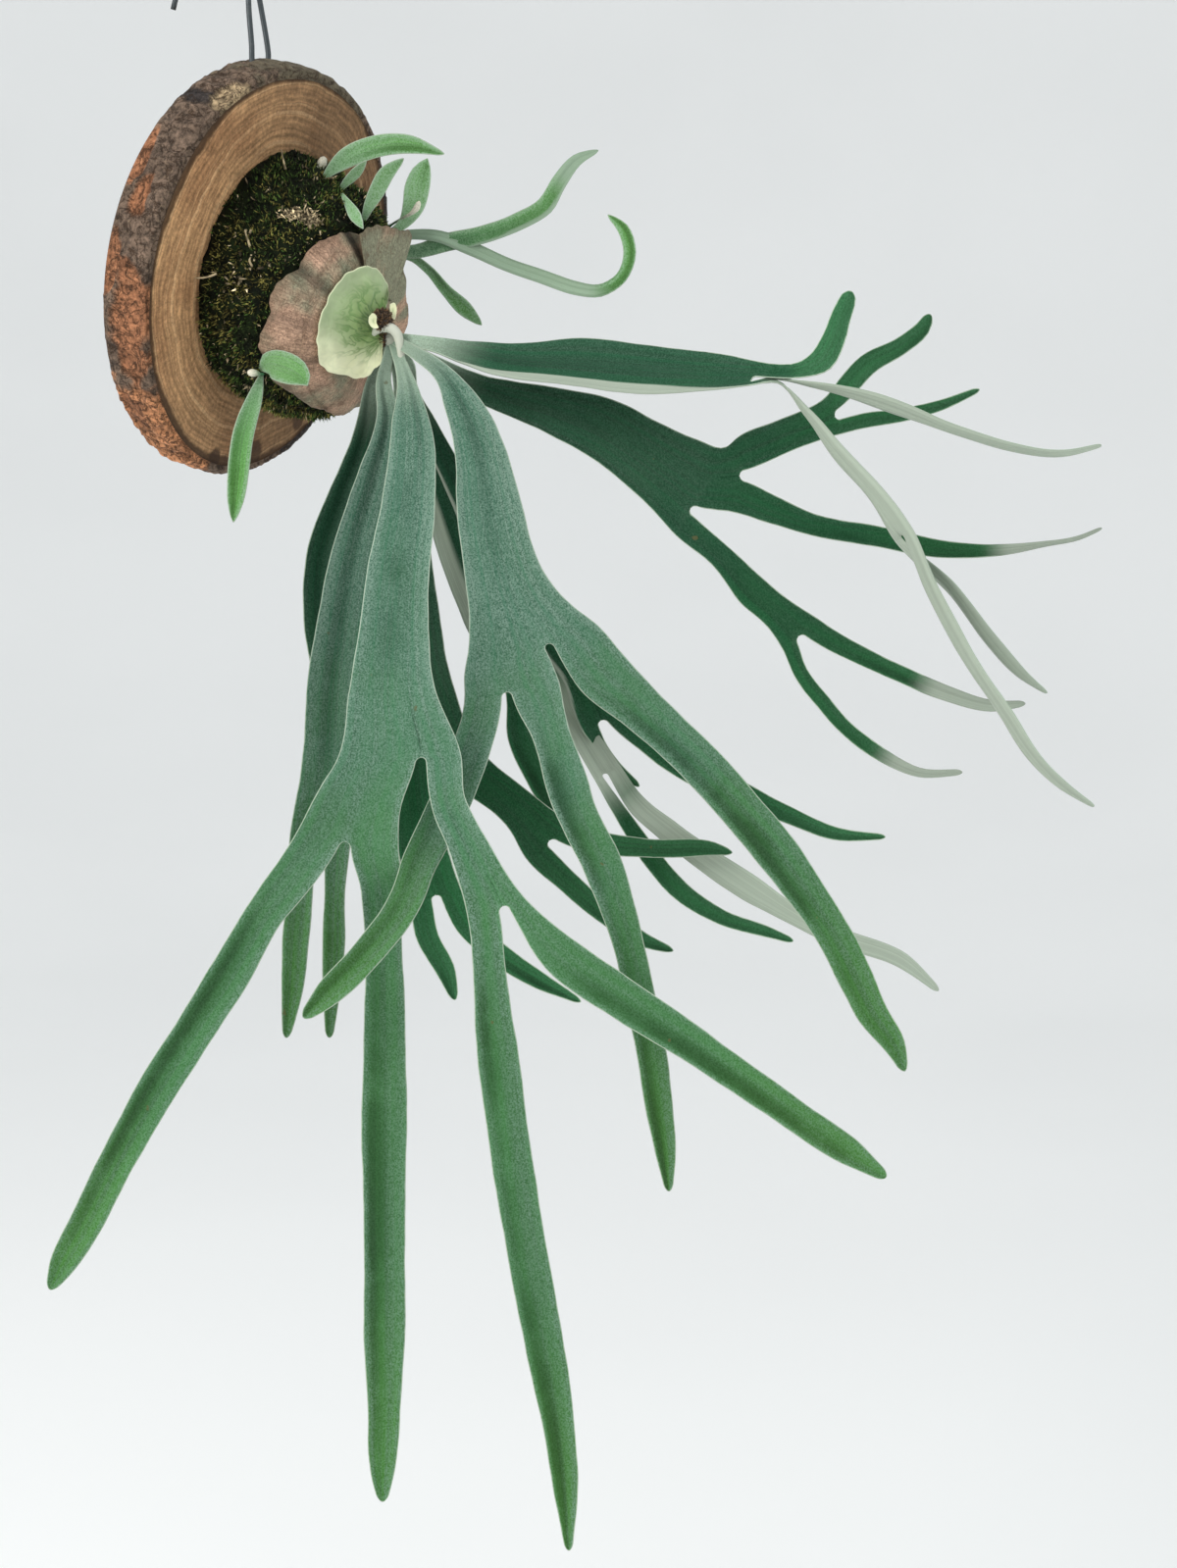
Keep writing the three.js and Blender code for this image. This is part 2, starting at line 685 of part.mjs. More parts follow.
function crossRow(station, tangent, marks, run) {
  const [across, down, toward, width, roll = 0] = station;
  const point = place(across, down, toward);
  const sight = EYE.clone().sub(point).normalize();
  const facing = sight.addScaledVector(tangent, -sight.dot(tangent)).normalize();
  const level = facing.clone().cross(tangent);
  const turn = degrees(roll);
  const normal = facing.clone().multiplyScalar(Math.cos(turn)).addScaledVector(level, Math.sin(turn));
  const side = level.clone().multiplyScalar(Math.cos(turn)).addScaledVector(facing, -Math.sin(turn));
  const half = (width / 2) * (1 - toward / VIEW_DISTANCE);
  const wave = WAVE_HEIGHT * Math.min(1, width / 40);
  return {
    normal,
    distance: run,
    points: marks.map((mark) => {
      const off = 2 * mark - 1;
      const lift = GUTTER * half * off * off
        + wave * off * Math.sin((run / WAVE_LENGTH) * 2 * Math.PI + off);
      return point.clone().addScaledVector(side, half * off).addScaledVector(normal, lift);
    }),
  };
}

function layRows(strip, first, run) {
  const marks = columnMarks(strip);
  const centres = strip.spine.map(([across, down, toward]) => place(across, down, toward));
  const before = first ? middleOf(first.points) : strip.root;
  let distance = run;
  strip.rows = first ? [first] : [];
  strip.spine.forEach((station, i) => {
    const behind = i > 0 ? centres[i - 1] : before;
    const ahead = centres[Math.min(i + 1, centres.length - 1)];
    const tangent = ahead.clone().sub(behind).normalize();
    distance += centres[i].distanceTo(behind);
    strip.rows.push(crossRow(station, tangent, marks, distance));
  });
  if (strip.arms) {
    const end = strip.rows.at(-1);
    const cut = columnMarks(strip.arms[0]).length - 1;
    layRows(strip.arms[0], { ...end, points: end.points.slice(0, cut + 1) }, distance);
    layRows(strip.arms[1], { ...end, points: end.points.slice(cut) }, distance);
  }
}

// Slopes of each column at each laid row, so the edges run through the rows smoothly
function slopes(rows, before, after) {
  const chain = [before, ...rows, after];
  return rows.map((row, i) => {
    const back = chain[i];
    const next = chain[i + 2];
    return row.points.map((point, j) => {
      const ahead = next ? next.points[j].clone().sub(point) : null;
      const behind = back ? point.clone().sub(back.points[j]) : null;
      if (!ahead || !behind) {
        const only = ahead || behind;
        return only.divideScalar(Math.max(1, only.length()));
      }
      const far = Math.max(1, ahead.length());
      const near = Math.max(1, behind.length());
      return ahead.multiplyScalar(near / far).add(behind.multiplyScalar(far / near))
        .divideScalar(far + near);
    });
  });
}

function hermite(from, to, slopeFrom, slopeTo, t) {
  const length = from.distanceTo(to);
  const t2 = t * t;
  const t3 = t2 * t;
  return from.clone().multiplyScalar(2 * t3 - 3 * t2 + 1)
    .addScaledVector(slopeFrom, (t3 - 2 * t2 + t) * length)
    .addScaledVector(to, 3 * t2 - 2 * t3)
    .addScaledVector(slopeTo, (t3 - t2) * length);
}

function joinedArms(strip) {
  const [left, right] = strip.arms.map((arm) => arm.rows[1].points);
  const shared = left.at(-1).clone().add(right[0]).multiplyScalar(0.5);
  return { points: [...left.slice(0, -1), shared, ...right.slice(1)] };
}

function fineRows(strip, before, inner) {
  const after = strip.arms ? joinedArms(strip) : null;
  const slope = slopes(strip.rows, before, after);
  const start = strip.rows[0].distance;
  const reach = Math.min(SINUS_FADE, strip.rows.at(-1).distance - start);
  const fine = [strip.rows[0]];
  strip.rows.slice(1).forEach((row, index) => {
    const i = index + 1;
    const last = strip.rows[i - 1];
    const length = row.distance - last.distance;
    const count = Math.max(1, Math.round(length / ROW_STEP));
    const shares = [];
    if (i === 1 && inner !== null) {
      shares.push(Math.min(0.3, SINUS_RADIUS / length));
    }
    for (let k = 1; k <= count; k += 1) {
      shares.push(k / count);
    }
    for (const t of shares) {
      const points = row.points.map((point, j) => (
        hermite(last.points[j], point, slope[i - 1][j], slope[i][j], t)));
      const normal = last.normal.clone().lerp(row.normal, t).normalize();
      const distance = last.distance + t * length;
      if (inner !== null) {
        const past = distance - start;
        const fade = Math.max(0, 1 - past / reach);
        const column = inner < 0 ? points.length - 1 : 0;
        const other = inner < 0 ? 0 : points.length - 1;
        const inward = points[other].clone().sub(points[column]).normalize();
        points[column].addScaledVector(inward, SINUS_RADIUS * fade * Math.min(1, past / SINUS_RADIUS));
      }
      fine.push({ points, normal, distance });
    }
  });
  return fine;
}

function bladeTriangles(strip, before, inner, triangles) {
  const rows = fineRows(strip, before, inner);
  const quad = (a, b, c, d) => triangles.push(a, b, c, a, c, d);
  const skins = rows.map(({ points, normal, distance }) => {
    const stalk = (STALK_THICKNESS - BLADE_THICKNESS) * Math.exp(-distance / STALK_FADE);
    const half = (BLADE_THICKNESS + (strip.slim ? 0 : stalk)) / 2;
    return {
      top: points.map((point) => point.clone().addScaledVector(normal, half)),
      low: points.map((point) => point.clone().addScaledVector(normal, -half)),
    };
  });
  for (let i = 0; i + 1 < skins.length; i += 1) {
    const near = skins[i];
    const far = skins[i + 1];
    const last = near.top.length - 1;
    for (let j = 0; j < last; j += 1) {
      quad(near.top[j], far.top[j], far.top[j + 1], near.top[j + 1]);
      triangles.push(near.low[j], far.low[j + 1], far.low[j]);
      triangles.push(near.low[j], near.low[j + 1], far.low[j + 1]);
    }
    quad(near.top[0], near.low[0], far.low[0], far.top[0]);
    quad(near.top[last], far.top[last], far.low[last], near.low[last]);
  }
  const cap = (skin, forward) => {
    for (let j = 0; j + 1 < skin.top.length; j += 1) {
      if (forward) {
        quad(skin.top[j], skin.low[j], skin.low[j + 1], skin.top[j + 1]);
      } else {
        quad(skin.top[j], skin.top[j + 1], skin.low[j + 1], skin.low[j]);
      }
    }
  };
  if (!before) {
    cap(skins[0], false);
  }
  if (!strip.arms) {
    cap(skins.at(-1), true);
    return;
  }
  const cut = strip.arms[0].rows[0].points.length - 1;
  const prior = strip.rows.at(-2);
  bladeTriangles(strip.arms[0], { points: prior.points.slice(0, cut + 1) }, -1, triangles);
  bladeTriangles(strip.arms[1], { points: prior.points.slice(cut) }, 1, triangles);
}

function blade(strip) {
  const triangles = [];
  layRows(strip, null, 0);
  bladeTriangles(strip, null, null, triangles);
  return meshFrom(triangles);
}

// A frond starts square on the crown
function frondOnCrown(strip) {
  const [across, down, toward, width] = strip.spine[0];
  const heading = place(across, down, toward).sub(CROWN).normalize();
  const foot = CROWN.clone().addScaledVector(heading, CROWN_RADIUS + GAP);
  const onSheet = sheetPoint(foot);
  strip.root = CROWN;
  strip.spine = [[...onSheet, width * 0.9, strip.spine[0][4] || 0], ...strip.spine];
  return blade(strip);
}

function sheetPoint(point) {
  const from = point.clone().sub(EYE);
  const depth = -from.dot(SHEET_TOWARD);
  const scale = VIEW_DISTANCE / depth;
  return [
    from.dot(SHEET_RIGHT) * scale + CROWN_LEFT_OF_SIGHT,
    CROWN_ABOVE_SIGHT - from.dot(SHEET_UP) * scale,
    VIEW_DISTANCE - depth,
  ];
}

// How far a point stands clear of the moss, less than nothing where it is inside
function clearOfMoss(point) {
  const from = point.clone().sub(FACE_CENTRE);
  const rise = Math.max(0, from.dot(FACE_OUT) - GAP) / MOUND_DEPTH;
  const across = (from.dot(FACE_ACROSS) - APEX_ACROSS_FACE * rise) / MOUND_HALF_WIDTH;
  const up = (from.dot(FACE_UP) - APEX_UP_FACE * rise) / MOUND_HALF_HEIGHT;
  const spread = Math.hypot(across, up);
  const power = MOUND_FULLNESS;
  const size = (spread ** power + rise ** power) ** (1 / power);
  const reach = Math.atan2(spread ** (power / 2), rise ** (power / 2)) / (Math.PI / 2);
  return (size - 1) * MOUND_HALF_WIDTH - mossHeight(Math.atan2(up, across), reach);
}

// The nearest place along the sight lines where none of the points is in the moss
function seatOnMoss(pointsAt, behind) {
  const isClear = (toward) => pointsAt(toward).every((point) => clearOfMoss(point) > GAP);
  const step = behind ? 1 : -1;
  let outside = -90 * step;
  let inside = outside;
  while (isClear(inside)) {
    outside = inside;
    inside += step;
    if (Math.abs(inside) > 120) {
      throw new Error('a young leaf has no moss behind its foot');
    }
  }
  for (let i = 0; i < 12; i += 1) {
    const half = (outside + inside) / 2;
    if (isClear(half)) {
      outside = half;
    } else {
      inside = half;
    }
  }
  return outside;
}

function leafOnMound(strip) {
  const moved = (seat) => strip.spine.map(([x, y, toward, ...rest]) => [x, y, toward + seat, ...rest]);
  const footAt = (seat) => {
    const [foot, next] = moved(seat);
    const start = place(...foot.slice(0, 3));
    const heading = place(...next.slice(0, 3)).sub(start).normalize();
    const { points, normal } = crossRow(foot, heading, [0, 0.5, 1], 0);
    return points.flatMap((point) => [-1, 1].map((side) => (
      point.clone().addScaledVector(normal, side * BLADE_THICKNESS / 2))));
  };
  const [across, down] = strip.spine[0];
  strip.spine = moved(seatOnMoss(footAt, strip.behind));
  strip.slim = true;
  strip.root = place(across, down, strip.spine[0][2] - 5);
  return blade(strip);
}

function ellipsoid(halfWidth, halfLength, centre, heading) {
  const shape = new THREE.SphereGeometry(1, 10, 8);
  shape.scale(halfWidth, halfLength, halfWidth);
  shape.applyQuaternion(new THREE.Quaternion().setFromUnitVectors(vector(0, 1, 0), heading));
  shape.translate(centre.x, centre.y, centre.z);
  return fromSolid(toSolid(shape));
}

// Assembly
addPiece('log_slice', logSlice(), WOOD);
addPiece('wire_hook', hookWire(), STEEL);
addPiece('wire_brace', braceWire(), STEEL);
addPiece('moss_mound', mossMound(), MOSS);
addPiece('shield_old', domeSheet({
  from: 0,
  to: 360,
  near: 0.045,
  far: (angle) => 0.57 + 0.02 * Math.sin(7 * angle) + 0.13 * Math.cos(angle - 3.5)
    - 0.12 * Math.exp(-((angle - 1.25) ** 2) / 0.3) - 0.15 * Math.exp(-((angle - 3.77) ** 2) / 0.05),
  lift: () => 0.5,
  thick: 1.4,
  across: 40,
  along: 7,
}), OLD_SHIELD);
addPiece('shield_old_upper', domeSheet({
  from: 72,
  to: 126,
  near: 0.12,
  far: (angle) => 0.46 + 0.04 * Math.sin(7 * angle),
  lift: (angle, step) => 2.2 + 9 * step * step,
  thick: 1.4,
  across: 9,
  along: 5,
}), OLD_SHIELD);
addPiece('shield_fresh', domeSheet({
  from: 138,
  to: 252,
  near: 0.07,
  far: (angle) => 0.4 + 0.012 * Math.sin(11 * angle),
  lift: () => 2.2,
  thick: 1.3,
  across: 20,
  along: 6,
}), FRESH_SHIELD);
const crown = new THREE.SphereGeometry(CROWN_RADIUS, 24, 16);
crown.translate(CROWN.x, CROWN.y, CROWN.z);
addPiece('rhizome_crown', fromSolid(toSolid(crown)), RHIZOME);

const budHeading = place(-5, -12, 9).sub(CROWN).normalize();
const budCentre = CROWN.clone().addScaledVector(budHeading, CROWN_RADIUS + GAP + 4);
addPiece('growing_bud', ellipsoid(4.5, 4, budCentre, budHeading), RHIZOME);

const BACK_NAMES = ['frond_left_back', 'frond_middle_back', 'frond_hanging_back', 'frond_outer_low'];
for (const [name, strip] of Object.entries(BIG_FRONDS)) {
  addPiece(name, frondOnCrown(strip), BACK_NAMES.includes(name) ? BACK_FROND : FRONT_FROND);
}
for (const [name, strip] of Object.entries(YOUNG_LEAVES)) {
  addPiece(name, leafOnMound(strip), YOUNG_LEAF);
}
for (const [name, [across, down, halfWidth, halfLength, behind]] of Object.entries(MOSS_BUDS)) {
  const shape = (toward) => ellipsoid(halfWidth, halfLength, place(across, down, toward), SHEET_UP);
  const surface = (toward) => {
    const { array } = shape(toward).attributes.position;
    return Array.from({ length: array.length / 3 }, (_, i) => vector(...array.slice(3 * i, 3 * i + 3)));
  };
  addPiece(name, shape(seatOnMoss(surface, behind)), YOUNG_LEAF);
}

export default part;
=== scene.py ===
"""Looks of a staghorn fern that is mounted on a live-edge log slice and hangs from a wire hook.

Sizes in the tables are millimetres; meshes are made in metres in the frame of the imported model.
The origin is the inner top of the hook, +Z is up and the sawn face of the slice looks to -Y.
"""

import math

import bmesh
import bpy
import numpy as np
from bpy.props import FloatProperty, FloatVectorProperty, IntProperty, PointerProperty
from mathutils import Matrix, Vector, noise


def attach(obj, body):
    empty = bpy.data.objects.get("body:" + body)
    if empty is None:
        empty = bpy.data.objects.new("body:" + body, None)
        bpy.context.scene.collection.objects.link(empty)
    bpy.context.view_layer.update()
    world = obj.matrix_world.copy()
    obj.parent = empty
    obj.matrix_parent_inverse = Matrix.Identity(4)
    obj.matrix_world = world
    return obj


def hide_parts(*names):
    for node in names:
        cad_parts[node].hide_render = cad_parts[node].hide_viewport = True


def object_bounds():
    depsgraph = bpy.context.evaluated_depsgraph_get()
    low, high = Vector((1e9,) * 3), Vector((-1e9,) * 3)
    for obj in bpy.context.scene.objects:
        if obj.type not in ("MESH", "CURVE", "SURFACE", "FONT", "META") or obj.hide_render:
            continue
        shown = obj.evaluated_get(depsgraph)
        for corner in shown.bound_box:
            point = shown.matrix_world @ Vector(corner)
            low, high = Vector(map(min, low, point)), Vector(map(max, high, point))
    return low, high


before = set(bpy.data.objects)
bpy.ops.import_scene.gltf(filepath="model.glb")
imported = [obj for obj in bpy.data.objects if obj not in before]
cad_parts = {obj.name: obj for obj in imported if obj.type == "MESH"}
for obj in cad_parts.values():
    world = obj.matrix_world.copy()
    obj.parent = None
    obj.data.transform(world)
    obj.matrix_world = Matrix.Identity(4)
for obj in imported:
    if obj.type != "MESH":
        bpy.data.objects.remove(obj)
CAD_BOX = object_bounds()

bl_info = {
    "name": "Mounted staghorn fern",
    "version": (1, 0, 0),
    "blender": (4, 5, 0),
    "location": "3D View > Sidebar > Staghorn",
    "description": "Builds the fern, its moss, its log slice and its wire round the packed model",
    "category": "Object",
}

MM = 0.001

# Log slice
SLICE_RADIUS = 107
SLICE_OVAL, SLICE_OVAL_TURN = 1.4, 215
SLICE_LOBE, SLICE_LOBE_TURN = 1.2, 96
SLICE_THICKNESS = 26.4
SLICE_LEAN = 17.5
BARK_THICKNESS = 4.5

# Wire hanger
HOOK_RADIUS = 22
HOOK_TAIL_DROP = 34
HOOK_TAIL_FLARE = 6
RIM_BELOW_SEAT = 84
LEG_SPREAD = 15
LEG_SET_FORWARD = 3
LEG_SINK = 12
LEG_DEPTH = 21
LEGS_OFF_CENTRE = 28
WRAP_TURNS = 3
WRAP_PITCH = 3.6
WRAP_START_BELOW_SEAT = 41
WRAP_CLEARANCE = 0.4
LEG_STRAIGHT = 4
TWIST_ABOVE_RIM = 28
TWIST_SPREAD = 0.36

# Moss mound and rhizome
MOUND_HALF_WIDTH = 64
MOUND_HALF_HEIGHT = 63
MOUND_DEPTH = 71
MOUND_FULLNESS = 2.7
APEX_ACROSS_FACE = -10
APEX_UP_FACE = -13
CROWN_RADIUS = 13
GAP = 0.3

# Blades
STALK_FADE = 40
GUTTER = 0.1
WAVE_HEIGHT = 1.4
WAVE_LENGTH = 95
SINUS_RADIUS = 2.2
SINUS_FADE = 60


def unit(vector):
    return vector / np.linalg.norm(vector)


def units(vectors):
    """The vectors of an array's last axis, each at length 1."""
    return vectors / np.linalg.norm(vectors, axis=-1, keepdims=True)


def ring_angles(sides):
    return np.arange(sides) / sides * 2 * math.pi


def round_axis(radius, angle, height):
    """Points round the Z axis."""
    return np.stack(np.broadcast_arrays(
        radius * np.cos(angle), radius * np.sin(angle), height), -1)


def degrees_past(angle, middle):
    """How many degrees an angle lies past the middle, from -180 to 180."""
    return (np.degrees(angle) - middle + 180) % 360 - 180


LEAN = math.radians(SLICE_LEAN)
FACE_ACROSS = np.array([1.0, 0.0, 0.0])
FACE_UP = np.array([0.0, -math.sin(LEAN), math.cos(LEAN)])
FACE_OUT = np.array([0.0, -math.cos(LEAN), -math.sin(LEAN)])
LEG_FOOT = FACE_UP * math.sqrt(SLICE_RADIUS**2 - LEGS_OFF_CENTRE**2) - FACE_OUT * LEG_DEPTH
FACE_CENTRE = np.array([
    LEGS_OFF_CENTRE,
    -HOOK_RADIUS - LEG_SET_FORWARD - LEG_FOOT[1],
    -RIM_BELOW_SEAT - LEG_FOOT[2],
])


def on_face(across, up, out):
    """Points from their places on the sawn face: across it, up it and out of it."""
    places = np.stack(np.broadcast_arrays(across, up, out), -1).astype(float)
    return FACE_CENTRE + places @ np.array([FACE_ACROSS, FACE_UP, FACE_OUT])


# The foliage is laid out on an upright sheet through the crown, seen from EYE.
CROWN = on_face(APEX_ACROSS_FACE, APEX_UP_FACE, MOUND_DEPTH + CROWN_RADIUS + 2 * GAP)
VIEW_TURN = math.radians(-65)
VIEW_PITCH = math.radians(5)
VIEW_DISTANCE = 1110
CROWN_LEFT_OF_SIGHT = 100
CROWN_ABOVE_SIGHT = 227
SHEET_RIGHT = np.array([math.cos(VIEW_TURN), math.sin(VIEW_TURN), 0.0])
SIGHT_LEVEL = np.array([math.sin(VIEW_TURN), -math.cos(VIEW_TURN), 0.0])
PLUMB = np.array([0.0, 0.0, 1.0])
SHEET_TOWARD = SIGHT_LEVEL * math.cos(VIEW_PITCH) + PLUMB * math.sin(VIEW_PITCH)
SHEET_UP = -SIGHT_LEVEL * math.sin(VIEW_PITCH) + PLUMB * math.cos(VIEW_PITCH)
EYE = (
    CROWN + SHEET_RIGHT * CROWN_LEFT_OF_SIGHT - SHEET_UP * CROWN_ABOVE_SIGHT
    + SHEET_TOWARD * VIEW_DISTANCE
)


def place(across, down, toward):
    """The point at a station. Arrays of stations have a last axis of one number."""
    near = (VIEW_DISTANCE - toward) / VIEW_DISTANCE
    return (
        EYE
        + SHEET_RIGHT * (across - CROWN_LEFT_OF_SIGHT) * near
        + SHEET_UP * (CROWN_ABOVE_SIGHT - down) * near
        - SHEET_TOWARD * VIEW_DISTANCE * near
    )


def sheet_point(point):
    """The station (across, down, toward) of a point."""
    ray = point - EYE
    depth = -ray @ SHEET_TOWARD
    scale = VIEW_DISTANCE / depth
    return (
        ray @ SHEET_RIGHT * scale + CROWN_LEFT_OF_SIGHT,
        CROWN_ABOVE_SIGHT - ray @ SHEET_UP * scale,
        VIEW_DISTANCE - depth,
    )


def lobe(spine, pale=0, hem=0):
    """A strip with one tip. Its last pale millimetres show the felted underside; below zero,
    all but its last millimetres do."""
    return {"spine": spine, "pale": pale, "hem": hem, "arms": ()}


def fork(share, spine, left, right, pale=0, hem=0):
    """A strip whose end splits at a share of its width. Hem is the share at its left edge that
    is rolled over and shows the underside."""
    return {"spine": spine, "share": share, "pale": pale, "hem": hem, "arms": (left, right)}


